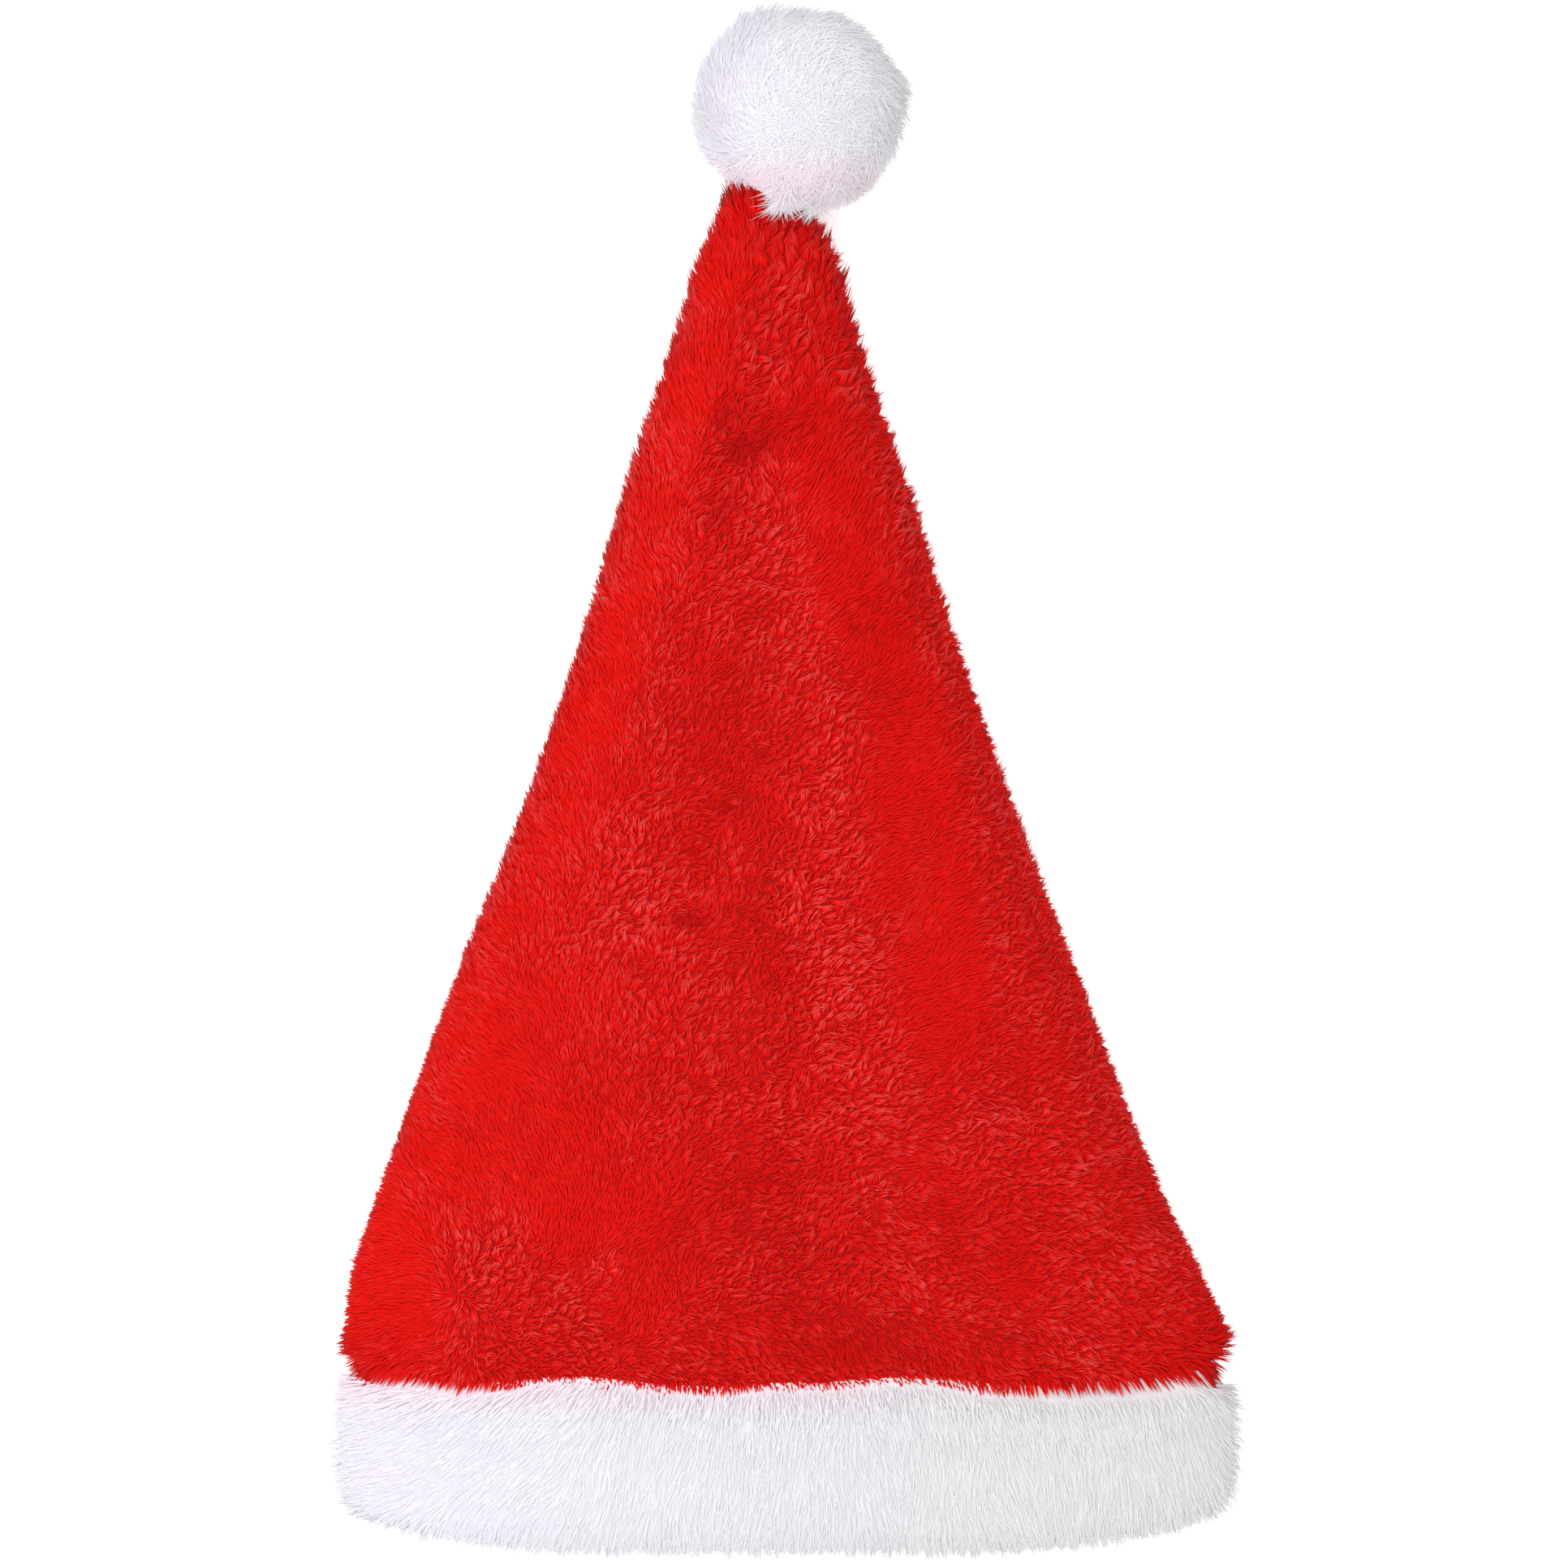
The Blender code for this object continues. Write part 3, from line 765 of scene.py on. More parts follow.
def sample(grid, first, second):
    """Values of a grid at fractional places: the weighted mean of the four nearest."""
    i = np.clip(first.astype(int), 0, grid.shape[0] - 2)
    j = np.clip(second.astype(int), 0, grid.shape[1] - 2)
    shape = (-1,) + (1,) * (grid.ndim - 2)
    s = (first - i).reshape(shape)
    t = (second - j).reshape(shape)
    near = grid[i, j] * (1 - t) + grid[i, j + 1] * t
    far = grid[i + 1, j] * (1 - t) + grid[i + 1, j + 1] * t
    return near * (1 - s) + far * s


print("golden step", round(1 / GOLDEN, 6))

# %% [markdown]
# A strand is a closed sliver with three sides. It has one or two rings of three corners and ends in a
# point, so it costs 4 or 10 triangles. It turns one flat side outwards, give or take a little chance,
# and its normals are mixed with those of the cloth below it, which makes the pile look soft although
# each sliver is coarse. Every strand also has its own small cell in a map, laid out so that
# neighbours on the hat are neighbours there.

# %% Strands
REST = 0.0008
CELL_FILL = 0.8
CELL_EDGE = 0.1
ROLL_CHANCE = 0.25
CORNER_TURNS = (30, 150, 270)


def press_on_floor(points):
    """Squash what would go through the floor: below the rest height, z fades towards 0."""
    z = points[..., 2]
    points[..., 2] = np.where(z < REST, REST * np.exp(np.minimum(z / REST - 1, 0)), z)
    return points


def strand_triangles(rings):
    """Corner numbers of one strand's triangles: root, sides and tip, all facing outwards."""
    triangles = [(0, 1, 2)]
    for ring in range(rings):
        for corner in range(3):
            here = 3 * ring + corner
            beside = 3 * ring + (corner + 1) % 3
            if ring == rings - 1:
                triangles.append((beside, here, 3 * rings))
            else:
                triangles.append((beside, here, here + 3))
                triangles.append((beside, here + 3, beside + 3))
    return np.array(triangles)


def by_strand(rings, tips):
    """A row for each strand: the values at its rings' corners and then the one at its tip."""
    return np.concatenate([rings.transpose(1, 0, 2, 3).reshape(len(tips), -1, 3), tips[:, None]], axis=1)


def tip_shares(rings):
    """Share of the way to the tip at a strand's corners and at its tip."""
    return np.append(np.repeat(np.arange(rings) / rings, 3), 1.0)


def give_strand_map(piece, triangles, rings, count, bands):
    """A map with one small cell for each strand, filled row by row."""
    cell = np.arange(count)[:, None]
    cell_u = np.append(np.tile([0.0, 0.5, 1.0], rings), 0.5)
    cell_v = tip_shares(rings) * 0.9 + np.append(np.tile([0.1, 0.0, 0.1], rings), 0.1)
    u = (cell % bands + CELL_EDGE + cell_u * CELL_FILL) / bands
    v = (cell // bands + CELL_EDGE + cell_v * CELL_FILL) / bands
    layer = piece.data.uv_layers.new(name="OFBake")
    layer.data.foreach_set("uv", np.stack([u, v], axis=-1).reshape(-1, 2)[triangles.ravel()].ravel())


def strand_piece(name, strands, material, seed):
    """A piece made of closed strands.

    Their path holds a ring of middle points for each step from the root and then the tips. A ring's
    three corners lie 120 degrees apart round the strand's direction, radii away from it, two of them
    on its outer side. softness is the share of the cloth's direction out in the normals. place puts
    neighbours side by side in the map, facts are the strands' attributes, and lift turns the normals
    upwards, because light creeps round thick fur.
    """
    path, place = strands["path"], strands["place"]
    count = path.shape[1]
    rings = len(path) - 1
    bands = math.ceil(math.sqrt(count))
    rank = np.empty(count, dtype=int)
    rank[np.argsort(place[1], kind="stable")] = np.arange(count)
    order = np.lexsort((place[0], rank // bands))
    path, radii, out = path[:, order], strands["radii"][:, order], strands["out"][order]
    softness = np.broadcast_to(strands["softness"], count)[order][:, None, None]
    facts = {key: value[order] for key, value in strands["facts"].items()}
    chance = np.random.default_rng(seed)
    ahead = unit(path[1:] - path[:-1])
    side = unit(np.cross(ahead, out + ROLL_CHANCE * chance.normal(size=(count, 3))))
    top = np.cross(side, ahead)
    turns = np.radians(CORNER_TURNS)
    spokes = side[:, :, None] * np.cos(turns)[:, None] + top[:, :, None] * np.sin(turns)[:, None]
    corners = path[:-1, :, None] + spokes * radii[:, :, None, None]
    points = press_on_floor(by_strand(corners, path[-1]))
    hard = by_strand(spokes, ahead[-1])
    soft = unit(out + np.array([0, 0, strands.get("lift", 0.0)]))
    normals = unit(hard * (1 - softness) + soft[:, None] * softness)
    size = 3 * rings + 1
    local = strand_triangles(rings)
    triangles = (np.arange(count)[:, None, None] * size + local).reshape(-1, 3)
    piece = add_piece(name, points.reshape(-1, 3), triangles, material)
    facts["tip_share"] = np.broadcast_to(tip_shares(rings), (count, size))
    facts["across"] = np.broadcast_to(np.append(np.tile([0.0, 1.0, 0.5], rings), 0.5), (count, size))
    for key, value in facts.items():
        each = value if value.ndim == 2 else value[:, None]
        give_attribute(piece, key, np.broadcast_to(each, (count, size)))
    give_strand_map(piece, triangles, rings, count, bands)
    piece.data.normals_split_custom_set_from_vertices(normals.reshape(-1, 3))
    volume = volume_inside(points.reshape(-1, 3), triangles)
    print(name, count, "strands", len(triangles), "triangles", "volume", volume)
    return piece


print("a plush strand has", len(strand_triangles(1)), "triangles, a fur strand", len(strand_triangles(2)))

# %% [markdown]
# The roots of the pile stand on the ground cloth, a hair's breadth above it. Each root knows its
# place in the cloth: its distance across from the middle and its distance along from the brim.

# %% Roots of the pile
ROOT_COVER = 0.0001
ROOT_JITTER = 0.00022
FINE_STEPS = 121
FINE_ROWS = 221


def pile_roots(start, end, count, thin, chance):
    """Roots on the crown between two angles, at the density thin on its flat underside."""
    degrees = np.linspace(start, end, FINE_STEPS)
    along = along_rows(FINE_ROWS)
    ground = crown_surface(degrees, along, PILE_DEPTH + ROOT_COVER)
    arcs = arc_lengths(ground)
    spans = np.broadcast_to(along * CROWN_LENGTH, arcs.shape)
    under = ease(-np.sin(np.radians(degrees)) * 1.6 - 0.35)
    weight = np.broadcast_to((1 - (1 - thin) * under)[:, None], arcs.shape)
    place = spread(ground, weight, count)
    side, forward, out = (unit(sample(way, *place)) for way in grid_directions(ground))
    jitter = chance.normal(0, ROOT_JITTER, (2, count))
    point = sample(ground, *place) + side * jitter[0][:, None] + forward * jitter[1][:, None]
    arc = sample(arcs, *place) + jitter[0]
    span = sample(spans, *place) + jitter[1]
    return {"point": point, "out": out, "side": side, "forward": forward, "arc": arc, "span": span}


print("roots lie", PILE_DEPTH + ROOT_COVER, "below the solid's face")

# %% [markdown]
# Tufts are about two millimetres across, and coarser near the tip. To let their size change along
# the cone without tearing the pattern, the distance along is counted in tufts: each short step adds
# its length over the tuft's size there. At the seam the pile hangs down over the white fur, and at
# the very tip it reaches up round the pompom.

# %% Tufts of the pile
TUFT = 0.0021
TIP_COARSENESS = 0.4
TIP_START = 0.62
SMOOTHEST = 0.78
LEFT_LIGHT = 0.5
BEND = 34
TUFT_BEND = 85
LIGHT_SPOTS = ((0.15, 0.008, 1), (0.14, 0.018, 4), (0.12, 0.0016, 3))
HANG_START = 0.006
TIP_REACH = 0.010


def coarseness(share):
    """0 over most of the cone, rising to 1 at its tip."""
    return ease((share - TIP_START) / (1 - TIP_START))


def hanging(span):
    """1 at the seam with the brim and 0 from where the pile starts to hang."""
    return ease((HANG_START - span) / HANG_START)


def at_tip(span):
    """0 over most of the cone and 1 at its very tip."""
    return ease((span - CROWN_LENGTH + TIP_REACH) / TIP_REACH)


def pile_tufts(root, seed):
    """Offset from each root to the middle of its tuft, its chance number and the tuft's size."""
    fine = np.linspace(-0.01, 1.01, 1021)
    sizes = TUFT * (1 + TIP_COARSENESS * coarseness(fine))
    counted = np.concatenate([[0], np.cumsum(np.diff(fine) * CROWN_LENGTH / sizes[1:])])
    share = root["span"] / CROWN_LENGTH
    size = np.interp(share, fine, sizes)
    offset, number = tufts(root["arc"] / size, np.interp(share, fine, counted), 1.0, seed)
    return offset * size, number, size


def pile_lie(root, number, seed):
    """Direction, smoothness and painted light of the pile at each root."""
    arc, span = root["arc"], root["span"]
    lie, smooth, painted_light = brushed(root["point"][:, 0], root["point"][:, 1])
    smooth = np.clip(smooth + 0.35 * soft_chance(arc, span, 0.010, seed), 0, 1) * SMOOTHEST
    # Soft chance spots vary the painted light, and a painted highlight runs along the crown's left side,
    # where it faces left.
    for amount, size, table in LIGHT_SPOTS:
        painted_light = painted_light + amount * soft_chance(arc, span, size, seed + table)
    painted_light = painted_light + LEFT_LIGHT * ease((-root["out"][:, 0] - 0.35) / 0.5)
    hang = hanging(span)
    tip = at_tip(span)
    outwards = root["point"][:, 0] / CROWN_WIDTH * 2
    lie = lie * (1 - hang) + hang * np.stack([outwards ** 3, -np.ones_like(outwards)])
    lie = lie * (1 - tip) + tip * np.array([[-0.3], [1.0]])
    other = np.mod(number * 97.31, 1) - 0.5
    loose = (1 - hang) * (1 - smooth)
    bend = BEND * soft_chance(arc, span, 0.009, seed + 2) * (1 - hang) + TUFT_BEND * other * loose
    bend = np.radians(bend)
    turned_x = lie[0] * np.cos(bend) - lie[1] * np.sin(bend)
    turned_y = lie[0] * np.sin(bend) + lie[1] * np.cos(bend)
    return np.stack([turned_x, turned_y]), smooth, painted_light


print("tufts of", TUFT, "growing to", round(TUFT * (1 + TIP_COARSENESS), 4))

# %% [markdown]
# The pile is about three millimetres long and leans at some fifty degrees, so it stands nearly two
# millimetres off its cloth. In a tuft the middle strands are the longest, and all of them bend
# towards it. Where the pile is brushed smooth they lie flatter and side by side. The table holds how
# much further it hangs over the brim, by the place across the hat. It is longest at both lower
# corners, a lobe of it at the left of the tip reaches up round the pompom, and one tuft strays.

# %% Crown pile
PILE_HEIGHT = 0.0019
PILE_RADIUS = 0.00048
SIDE_PILE = 0.0008
TOOTH = 0.0011
HANG = (
    (-0.140, 0.0010), (-0.133, 0.0012), (-0.126, 0.0034), (-0.110, 0.0022), (-0.097, 0.0036),
    (-0.088, 0.0020), (-0.076, 0.0002), (-0.050, 0.0002), (-0.037, 0.0012), (-0.018, 0.0016),
    (-0.004, 0.0006), (0.015, 0.0012), (0.040, 0.0014), (0.060, 0.0024), (0.085, 0.0040),
    (0.108, 0.0046), (0.129, 0.0044), (0.136, 0.0052), (0.140, 0.0052),
)
CORNER_WIDTH = 0.020
CORNER_HEIGHT = 0.016
CORNER_PILE = 0.0062
TIP_PILE = 0.0034
STRAY = (-0.0550, -0.1840)
STRAY_RADIUS = 0.0014
STRAY_PILE = 0.0030
LEAST_HEIGHT = 0.0008
LEAN = 50
LEAN_CHANCE = 5
FRONT_STRANDS = 90000
BACK_STRANDS = 29000


def pile_length(root, way, smooth, number, apart, chance):
    """How long the strands are: longer at the sides, the seam, the corners and the tip."""
    x, span, out = root["point"][:, 0], root["span"], root["out"]
    count = len(span)
    coarse = coarseness(span / CROWN_LENGTH)
    hang = hanging(span)
    loose = (1 - smooth) * (1 + 0.4 * coarse)
    aside = ease((np.hypot(out[:, 0], out[:, 1]) - 0.45) / 0.45)
    upper = ease(span / CROWN_LENGTH - 0.15) * (0.6 + 0.6 * (out[:, 0] > 0))
    tooth = number + 0.35 - 1.3 * apart
    height = PILE_HEIGHT * (1 + 0.35 * coarse + loose * (0.35 * (number - 0.5) + 0.18 - 0.5 * apart))
    height = height + aside * (SIDE_PILE * (x < 0) + TOOTH * (0.4 + 1.4 * upper) * tooth)
    height = np.maximum(height, LEAST_HEIGHT) * chance.uniform(0.88, 1.12, count)
    length = height / np.maximum(np.einsum("ij,ij->i", way, out), 0.45)
    length = length * (1 - 0.1 * hang) + between_rows(HANG, x) * hang * chance.uniform(0.85, 1.1, count)
    corner = ease((np.abs(x) - CROWN_WIDTH / 2 + CORNER_WIDTH) / CORNER_WIDTH)
    corner = corner * ease((CORNER_HEIGHT - span) / CORNER_HEIGHT * 1.5)
    length = length + CORNER_PILE * corner * chance.uniform(0.7, 1.1, count)
    length = length + TIP_PILE * at_tip(span) * ease((-0.003 - x) / 0.006)
    stray = (np.hypot(*(root["point"][:, :2] - STRAY).T) < STRAY_RADIUS) & (out[:, 2] > 0)
    return np.where(stray, length + STRAY_PILE, length)


def crown_pile(start, end, count, thin, seed):
    """Strands on the crown between two angles, each from its root to its tip."""
    chance = np.random.default_rng(seed)
    root = pile_roots(start, end, count, thin, chance)
    offset, number, size = pile_tufts(root, seed + 1)
    lie, smooth, painted_light = pile_lie(root, number, seed + 2)
    out, point = root["out"], root["point"]
    hang = hanging(root["span"])
    slope = LEAN + 9 * smooth - 10 * hang + 10 * (number - 0.5) * (1 - smooth)
    slope = np.radians(slope + chance.normal(0, LEAN_CHANCE, count))[:, None]
    way = unit(out * np.cos(slope) + along_cloth(level(*lie), out) * np.sin(slope))
    length = pile_length(root, way, smooth, number, np.hypot(*offset) / size, chance)
    pull = (0.60 * (1 - smooth) * (1 - 0.7 * hang))[:, None]
    shift = root["side"] * offset[0][:, None] + root["forward"] * offset[1][:, None]
    tip = point + way * length[:, None] + shift * pull
    radius = PILE_RADIUS * chance.uniform(0.8, 1.2, count) * (1 + 0.1 * smooth) * (1 + 0.4 * hang)
    mixed = 0.5 * number + 0.5 * chance.uniform(0, 1, count)
    return {
        "path": np.stack([point, tip]),
        "radii": radius[None],
        "out": out,
        "softness": 0.55 + 0.35 * smooth,
        "place": np.stack([root["arc"], root["span"]]),
        "facts": {"chance": mixed, "smooth": smooth, "painted_light": painted_light},
    }


def share_of(strands, chosen):
    """The chosen ones of some strands."""
    facts = {key: value[chosen] for key, value in strands["facts"].items()}
    kept = {key: strands[key][..., chosen] for key in ("radii", "softness", "place")}
    return {**kept, "path": strands["path"][:, chosen], "out": strands["out"][chosen], "facts": facts}


front_strands = crown_pile(*FRONT_ANGLES, FRONT_STRANDS, 1.0, 11)
on_left = front_strands["place"][0] > np.median(front_strands["place"][0])
left_strands = share_of(front_strands, on_left)
right_strands = share_of(front_strands, ~on_left)
pile_left = strand_piece("crown_front_pile_left", left_strands, RED_PILE, 15)
pile_right = strand_piece("crown_front_pile_right", right_strands, RED_PILE, 16)
back_strands = crown_pile(*BACK_ANGLES, BACK_STRANDS, 0.30, 31)
pile_back = strand_piece("crown_back_pile", back_strands, RED_PILE, 35)

# %% [markdown]
# The brim is a strip of long white fur, doubled over and sewn round the opening. Its cross-section
# is carried round the same loop as the crown's lower edge. The body stays well below the fur's outer
# form, which the strands then fill. Its upper edge has a sunken shoulder, so the red pile that hangs
# over it doesn't stand on a step, and a second table lifts the edge where the seam waves upwards.

# %% Brim body
PROFILE_COLUMNS = ("out", "up")
PROFILE = (
    (0.00, 0.10), (0.00, 0.55), (0.00, 1.00), (0.30, 1.00), (0.62, 0.99), (0.86, 0.94), (0.97, 0.85),
    (1.00, 0.73), (1.00, 0.61), (1.00, 0.49), (1.00, 0.37), (0.98, 0.25), (0.92, 0.14), (0.76, 0.05),
    (0.45, 0.01), (0.14, 0.03),
)
BRIM_SINK = 0.0036
SHOULDER = 0.0080
SHOULDER_START = 0.72
UPPER_RIM = (
    (-0.140, 0.0014), (-0.132, 0.0012), (-0.124, 0.0000), (-0.097, 0.0000), (-0.085, 0.0014),
    (-0.076, 0.0030), (-0.061, 0.0040), (-0.050, 0.0032), (-0.037, 0.0020), (-0.018, 0.0015),
    (-0.004, 0.0028), (0.014, 0.0030), (0.028, 0.0046), (0.043, 0.0046), (0.058, 0.0024),
    (0.073, 0.0010), (0.085, 0.0000), (0.140, 0.0000),
)
BRIM_STEPS = 200
BRIM_TURNS = 26


def round_curve(values, at):
    """A smooth closed curve through values at 0, 1, 2 and so on: a cubic between each pair."""
    count = len(values)
    i = np.floor(at).astype(int)
    t = at - i
    before, here, after, beyond = (values[(i + step) % count] for step in (-1, 0, 1, 2))
    return here + 0.5 * t * (after - before + t * (2 * before - 5 * here + 4 * after - beyond
                                                  + t * (3 * (here - after) + beyond - before)))


def even_angles(count):
    """Angles that part the brim's outer loop into equal lengths, and its length."""
    seam = crown_section(np.array(0.0))
    fine = np.linspace(0, 360, 1441)
    x, z = oval(fine, seam, np.full_like(fine, CLOTH - FUR))
    run = np.concatenate([[0], np.cumsum(np.hypot(np.diff(x), np.diff(z)))])
    return np.interp(np.linspace(0, 1, count + 1) * run[-1], run, fine), run[-1]


def profile(turn):
    """How far out and how high up places round the brim's profile are, as shares."""
    curves = (round_curve(column(PROFILE, PROFILE_COLUMNS, name), turn) for name in PROFILE_COLUMNS)
    return [np.clip(curve, 0, 1) for curve in curves]


def shoulder(up):
    """How deep the sunken shoulder is: nothing up to its start and the whole depth at the top."""
    return SHOULDER * ease((up - SHOULDER_START) / (1 - SHOULDER_START))


def brim_surface(degrees, turn, sink):
    """Points of the brim at every pair of an angle round the hat and a place round its profile.

    A place's out is how far it stands off the cloth, as a share of the fur less sink and shoulder,
    and its up is how high it is on the band.
    """
    degrees, turn = np.meshgrid(degrees, turn, indexing="ij")
    seam = crown_section(np.array(0.0))
    out, up = profile(turn)
    x, z = oval(degrees, seam, CLOTH - out * (FUR - sink - shoulder(up)))
    side = np.abs(np.cos(np.radians(degrees)))
    y = SEAM_Y - CLEARANCE - (BRIM_HEIGHT - sink) * (1 - up)
    y = y + bow(degrees, 0) * up + RIM_RISE * side ** 3 * (1 - up)
    y = y + between_rows(UPPER_RIM, x) * ease((up - 0.6) / 0.4)
    return np.stack([x, y, z], axis=-1)


loop_angles, brim_loop = even_angles(BRIM_STEPS)
brim_turns = np.linspace(0, len(PROFILE), BRIM_TURNS + 1)[:-1]
brim_points = brim_surface(loop_angles[:-1], brim_turns, BRIM_SINK)
brim_grid = np.arange(BRIM_STEPS * BRIM_TURNS).reshape(BRIM_STEPS, BRIM_TURNS)
brim_faces = grid_faces(brim_grid, True, True)
if volume_inside(brim_points.reshape(-1, 3), halves(brim_faces)) < 0:
    brim_faces = brim_faces[:, ::-1]
brim_band = add_piece("brim_band", brim_points.reshape(-1, 3), brim_faces, BRIM_BODY)
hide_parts("brim")
print("brim loop", round(float(brim_loop), 3))

# %% [markdown]
# Brim fur is some twelve millimetres long. It rises from the band and then lies down towards the
# open edge, which it passes in a fringe. At the left it is combed sideways, and at both ends it
# points outwards. The table gives its heading by the place across the hat. On the sunken shoulder
# it rises by the shoulder's depth, but only where it is bare: under the hanging red it stays short.

# %% Brim fur
COMB = (
    (-0.140, 195.0), (-0.115, 205.0), (-0.085, 222.0), (-0.055, 252.0), (0.000, 268.0), (0.060, 276.0),
    (0.110, 280.0), (0.132, 300.0), (0.140, 330.0),
)
FUR_LENGTH = 0.0115
FUR_RADIUS = 0.00021
LOCK = 0.0036
LOCK_LENGTH = 2.2
ROOT_TURNS = (3.1, 15.6)
ROOT_ROWS = 90
LOOP_STEPS = 480
DOWN = 270
FAN = 24
FAN_WIDTH = 0.14
HEADING_DRIFT = 16
HEADING_CHANCE = 9
FRINGE_DROP = 0.032
FRINGE_RUN = 0.012
SEAM_COVER = 0.0008
BRIM_FRONT_STRANDS = 16000
BRIM_BACK_STRANDS = 12000


def strand_arc(root, out, towards, rise, reach, pull):
    """Root, middle and tip of bent strands.

    A strand leaves along out, ends rise up and reach over, and is drawn aside by pull at its tip.
    Its middle is a little nearer to the root than to the tip, and higher than straight between them.
    """
    tip = root + out * rise[:, None] + towards * reach[:, None] + pull
    middle = root + out * (0.62 * rise)[:, None] + towards * (0.36 * reach)[:, None] + pull * 0.4
    return np.stack([root, middle, tip])


def comb(x, low, arc, span, seed, chance):
    """Heading of the brim's fur in radians: the table's, but fanned out evenly in the fringe."""
    heading = between_rows(COMB, x)
    straight = DOWN + (x / FAN_WIDTH) * FAN
    heading = heading + (straight - heading) * low * 0.8
    heading = heading + HEADING_DRIFT * soft_chance(arc, span, 0.014, seed)
    return np.radians(heading + HEADING_CHANCE * chance.normal(size=len(x)))


def brim_fur(name, start, end, count, seed):
    """Fur on the brim between two angles round the hat."""
    chance = np.random.default_rng(seed)
    angles, _ = even_angles(LOOP_STEPS)
    degrees = angles[(angles >= start) & (angles <= end)]
    turn = np.linspace(*ROOT_TURNS, ROOT_ROWS)
    body = brim_surface(degrees, turn, BRIM_SINK + CLEARANCE)
    across_way, _, out_way = grid_directions(body)
    middle = (len(degrees) // 2, ROOT_ROWS // 2)
    if out_way[middle] @ (body[middle] - np.array([0, SEAM_Y, FUR + MOUTH_HEIGHT / 2])) < 0:
        out_way = -out_way
    arcs = arc_lengths(body)
    runs = np.linalg.norm(np.diff(body, axis=1), axis=-1)
    spans = np.concatenate([np.zeros((len(degrees), 1)), np.cumsum(runs, axis=1)], axis=1)
    fringe = ease((SEAM_Y - FRINGE_DROP - body[..., 1]) / FRINGE_RUN)
    place = spread(body, 0.8 + fringe, count)
    root = sample(body, *place)
    out = sample(out_way, *place)
    out[:, 1] = np.minimum(out[:, 1], 0.1)
    out = unit(out)
    side = unit(sample(across_way, *place))
    arc = sample(arcs, *place)
    span = sample(spans, *place)
    low = sample(fringe[..., None], *place)[:, 0]
    heading = comb(root[:, 0], low, arc, span, seed, chance)
    towards = along_cloth(level(np.cos(heading), np.sin(heading)), out)
    offset, number = tufts(arc / LOCK, span / (LOCK * LOCK_LENGTH), 1.0, seed + 1)
    up = np.interp(place[1], np.arange(ROOT_ROWS), profile(turn)[1])
    covered = SEAM_COVER + 0.75 * between_rows(HANG, root[:, 0])
    bare = ease((BRIM_HEIGHT * (1 - up) - covered) / (2 * SEAM_COVER))
    sunk = shoulder(up)
    edge = ease((np.hypot(out[:, 0], out[:, 1]) - 0.5) / 0.4)
    below = 1.0 * (root[:, 2] < FUR)
    length = FUR_LENGTH * (0.85 + 0.3 * number) * (1 - 0.25 * below)
    length = length * (chance.uniform(0.7, 1.05, count) - chance.uniform(0, 0.35, count) * low)
    rise = BRIM_SINK * chance.uniform(0.12, 0.55, count) * (1 + edge * (1.0 + 1.2 * number))
    rise = rise * (0.3 + 0.7 * bare) + sunk * bare * chance.uniform(0.88, 1.04, count)
    reach = np.sqrt(np.maximum(length ** 2 - rise ** 2, 0.004 ** 2))
    reach = reach * (1 - 0.45 * edge) * (0.25 + 0.75 * bare)
    pull = side * (offset[0] * LOCK * (0.15 + 0.45 * edge))[:, None]
    path = strand_arc(root, out, towards, rise, reach, pull)
    path[1:, :, 1] = np.minimum(path[1:, :, 1], root[:, 1] + 0.001)
    radius = FUR_RADIUS * chance.uniform(0.7, 1.2, count) * (1.4 - 0.4 * np.maximum(edge, low))
    radius = radius * (1 + 0.5 * sunk / SHOULDER)
    strands = {
        "path": path,
        "radii": np.stack([radius, radius * 0.8]),
        "out": out,
        "softness": 0.96,
        "lift": 0.4,
        "place": np.stack([arc, span]),
        "facts": {"chance": 0.4 * number + 0.6 * chance.uniform(0, 1, count)},
    }
    return strand_piece(name, strands, BRIM_FUR, seed + 2)


fur_front = brim_fur("brim_fur_front", 0.0, 180.0, BRIM_FRONT_STRANDS, 51)
fur_back = brim_fur("brim_fur_back", 180.0, 360.0, BRIM_BACK_STRANDS, 61)

# %% [markdown]
# The pompom is a ball of the same fur. Its core is a stuffed ball that settles a little on the
# floor. The fur grows from it all round and is swept clockwise, as seen from above, but not at its
# base. There it is shorter where two lobes of red plush reach up, with a tongue of fur between them.
# The table holds such changes of its length, by the angle from the right.

# %% Pompom core
BALL_RADIUS = 0.0335
BALL_MIDDLE = np.array([0.0046, 0.2068, 0.0295])
BALL_SINK = 0.0064
FUR_SPREAD = 0.0056
CORE_ROUND = 48
CORE_DOWN = 30


def ball_surface(turns, downs, radius):
    """Points of a ball from angles round it and down from its far end, settled on the floor."""
    turns, downs = np.meshgrid(turns, downs, indexing="ij")
    ball = np.stack([np.sin(turns) * np.sin(downs), np.cos(downs), np.cos(turns) * np.sin(downs)], axis=-1)
    points = ball * radius + BALL_MIDDLE
    points[..., 2] = np.maximum(points[..., 2], REST)
    return points


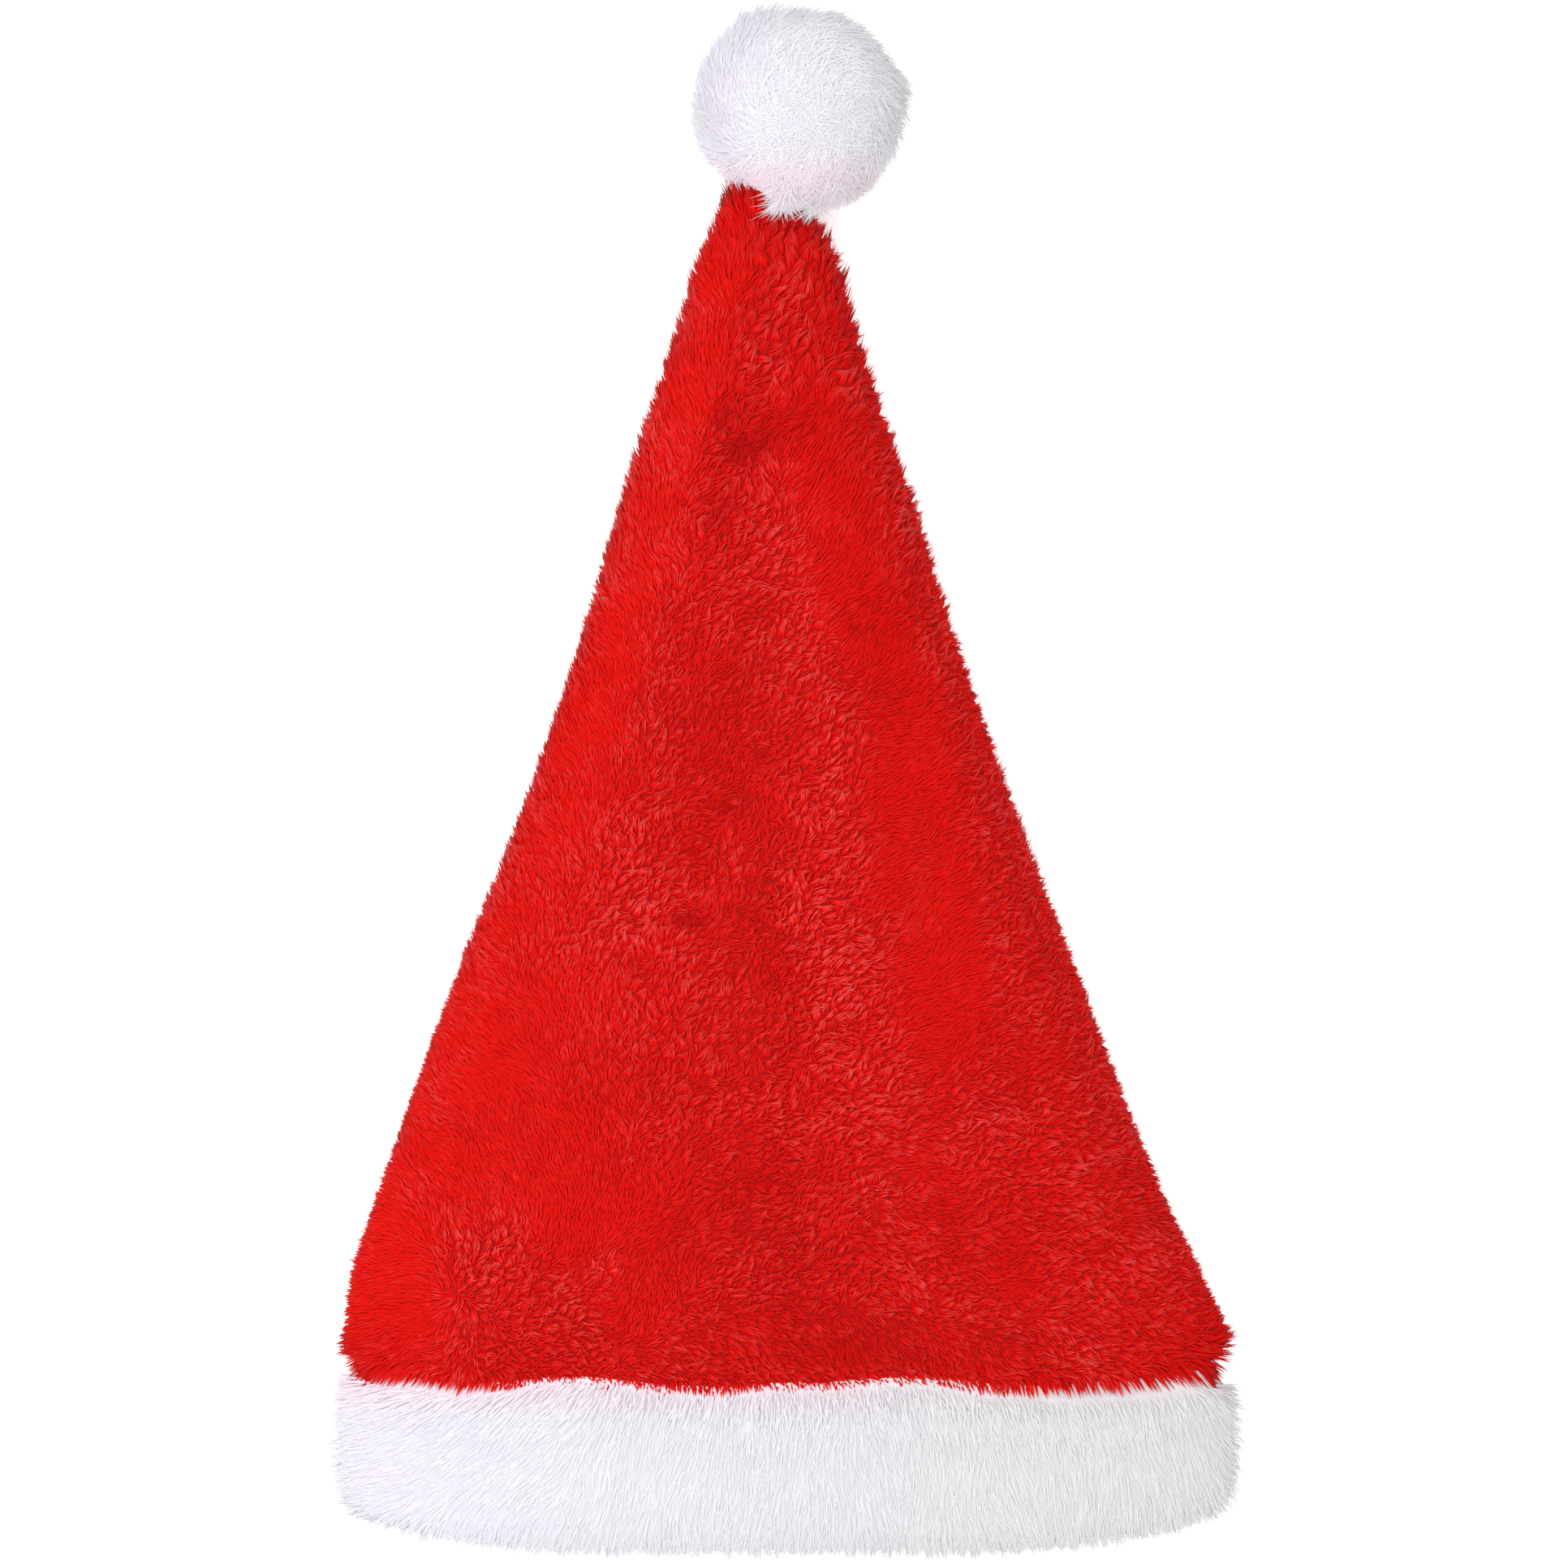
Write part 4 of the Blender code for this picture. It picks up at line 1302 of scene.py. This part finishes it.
def core_mesh():
    """A closed ball: a grid of rings and a single point at each pole."""
    turns = np.linspace(0, 2 * math.pi, CORE_ROUND + 1)[:-1]
    downs = np.linspace(0, math.pi, CORE_DOWN + 1)[1:-1]
    rings = ball_surface(turns, downs, BALL_RADIUS - BALL_SINK)
    poles = BALL_MIDDLE + np.array([[0, 1, 0], [0, -1, 0]]) * (BALL_RADIUS - BALL_SINK)
    poles[:, 2] = np.maximum(poles[:, 2], REST)
    grid = np.arange(rings.shape[0] * rings.shape[1]).reshape(rings.shape[:2])
    quads = grid_faces(grid, True)[:, ::-1].tolist()
    beside = np.roll(grid, -1, axis=0)
    top = np.stack([np.full(CORE_ROUND, grid.size), grid[:, 0], beside[:, 0]], axis=-1).tolist()
    bottom = np.stack([np.full(CORE_ROUND, grid.size + 1), beside[:, -1], grid[:, -1]], axis=-1).tolist()
    return np.concatenate([rings.reshape(-1, 3), poles]), quads + top + bottom


core_points, core_faces = core_mesh()
pompom_core = add_piece("pompom_core", core_points, core_faces, BALL_BODY)
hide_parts("pompom")
print("pompom core", len(core_faces), "faces")

# %% Pompom fur
LOBES = (
    (-121.0, 15.0, -0.84),
    (-100.0, 5.0, 0.25),
    (-90.0, 4.5, -0.80),
    (136.0, 16.0, 0.08),
    (14.0, 24.0, -0.02),
    (-36.0, 30.0, -0.27),
    (45.0, 17.0, -0.25),
    (85.0, 28.0, -0.25),
)
BASE_ANGLE = -105.0
BASE_SPREAD = 38.0
DRIFT = (0.20, 0.30, 0.0)
ROOT_DEPTH = 0.0004
BALL_STRANDS = 16500
BALL_LOCK = 0.0062
BALL_FUR_LENGTH = 0.0085


def inside_tip(points):
    """Which points lie within the crown's last stretch."""
    x, y, z = points.T
    section = crown_section(np.clip((y + ORIGIN_TO_SEAM) / CROWN_LENGTH, 0, 1))
    wide = (x > -section["left"]) & (x < section["right"])
    high = (z > section["low"]) & (z < section["top"])
    return (y < TIP_Y) & wide & high


def turned_from(degrees, angle):
    """How far angles are turned from one angle, from -180 to 180 degrees."""
    return np.mod(degrees - angle + 180, 360) - 180


def pompom_fur(count, seed):
    """Fur of the ball, swept clockwise round the line of sight and outwards from it."""
    chance = np.random.default_rng(seed)
    turns = np.linspace(0, 2 * math.pi, 181)
    downs = np.linspace(0.02, math.pi - 0.02, 91)
    body = ball_surface(turns, downs, BALL_RADIUS - BALL_SINK - ROOT_DEPTH)
    place = spread(body, np.ones(body.shape[:2]), count)
    root = sample(body, *place)
    root = root[~inside_tip(root)]
    count = len(root)
    out = unit(root - BALL_MIDDLE)
    angle = np.arctan2(out[:, 1], out[:, 0])
    flat = np.hypot(out[:, 0], out[:, 1])
    radial = level(np.cos(angle), np.sin(angle))
    sweep = level(np.sin(angle), -np.cos(angle))
    aside = ease(flat * 1.5 - 0.4)[:, None]
    round_edge = np.stack([angle, out[:, 2]]) * BALL_RADIUS
    over_top = out[:, :2].T * BALL_RADIUS + 1.0
    place = np.where(flat < 0.7, over_top, round_edge)
    lean = soft_chance(*place, 0.012, seed)[:, None]
    degrees = np.degrees(angle)
    base = np.exp(-(turned_from(degrees, BASE_ANGLE) / BASE_SPREAD) ** 4)[:, None]
    towards = sweep * aside * (0.60 + 0.40 * lean) * (1 - base) + radial * aside * (0.40 + 0.25 * lean)
    towards = towards + np.array(DRIFT) * (1 - 1.5 * base)
    towards = along_cloth(towards + 0.35 * chance.normal(size=(count, 3)), out)
    towards = towards / np.maximum(np.linalg.norm(towards, axis=1), 0.7)[:, None]
    change = np.zeros(count)
    for middle, spread_angle, amount in LOBES:
        change += amount * np.exp(-(turned_from(degrees, middle) / spread_angle) ** 4)
    change = np.maximum(change, -0.95) * ease(flat * 4 - 2.8)
    offset, number = tufts(*place / BALL_LOCK, 1.0, seed + 1)
    edge = ease((flat - 0.72) / 0.25)
    inner = chance.uniform(0.10, 0.38, count)
    outer = chance.uniform(0.45, 0.95, count) + 0.70 * number
    size = (inner + (outer - inner) * edge) * (1 + change)
    rise = FUR_SPREAD * size
    reach = BALL_FUR_LENGTH * (0.65 + 0.20 * edge + 0.4 * number) * (1 + change)
    pull = unit(np.cross(out, towards)) * (offset[0] * BALL_LOCK * (0.1 + 0.6 * edge))[:, None]
    path = strand_arc(root, out, towards, rise, reach, pull)
    radius = FUR_RADIUS * chance.uniform(0.8, 1.3, count) * (1.5 - 0.5 * edge)
    strands = {
        "path": path,
        "radii": np.stack([radius, radius * 0.8]),
        "out": out,
        "softness": 0.97,
        "lift": 0.9,
        "place": np.stack([angle, out[:, 2]]),
        "facts": {"chance": 0.4 * number + 0.6 * chance.uniform(0, 1, count)},
    }
    return strand_piece("pompom_fur", strands, BALL_FUR, seed + 2)


pompom_fur(BALL_STRANDS, 71)

# %% [markdown]
# The picture is taken from straight above with a long lens, on a white floor in soft studio light. A
# broad lamp over the hat's left side gives the form, and the pale world fills the shadows.

# %% Floor, light and camera
CAMERA_HEIGHT = 1.5
HAT_LEVEL = 0.025
FRAME_WIDTH = 0.483
SENSOR = 36.0
FLOOR_HALF = 3.0
LAMP_PLACE = (-0.38, 0.14, 1.55)
LAMP_SIZE = 1.5
LAMP_WATTS = 16.5
WORLD_LIGHT = 0.83


def add_floor():
    """A plain pale floor that isn't part of the hat."""
    glow = {"Emission_Color": (1, 1, 1, 1), "Emission_Strength": 0.40}
    pale = {"Base_Color": (0.94, 0.94, 0.94, 1), "Roughness": 0.9, "Specular_IOR_Level": 0.1}
    corners = [(x * FLOOR_HALF, y * FLOOR_HALF, 0) for x, y in ((-1, -1), (1, -1), (1, 1), (-1, 1))]
    mesh = bpy.data.meshes.new("floor")
    mesh.from_pydata(corners, [], [(0, 1, 2, 3)])
    mesh.materials.append(Finish("floor", **pale, **glow).material)
    new_object("floor", mesh)


def add_lamp(name, place, size, watts):
    """A square soft lamp that faces the middle of the hat."""
    lamp = bpy.data.lights.new(name, "AREA")
    lamp.size = size
    lamp.energy = watts
    holder = new_object(name, lamp)
    holder.location = place
    tilt = math.acos(place[2] / math.hypot(*place))
    holder.rotation_euler = (tilt, 0, math.atan2(place[1], place[0]) + math.pi / 2)


add_floor()
add_lamp("window", LAMP_PLACE, LAMP_SIZE, LAMP_WATTS)
world = bpy.data.worlds.new("studio")
world.use_nodes = True
background = world.node_tree.nodes["Background"].inputs
background["Color"].default_value = (1.0, 1.0, 1.0, 1)
background["Strength"].default_value = WORLD_LIGHT
bpy.context.scene.world = world
bpy.context.scene.view_settings.view_transform = "Standard"

camera = new_object("camera", bpy.data.cameras.new("camera"))
camera.location = (-0.0005, 0.0, HAT_LEVEL + CAMERA_HEIGHT)
camera.data.sensor_width = SENSOR
camera.data.lens = SENSOR * CAMERA_HEIGHT / FRAME_WIDTH
bpy.context.scene.camera = camera
print("lens", round(camera.data.lens, 1))
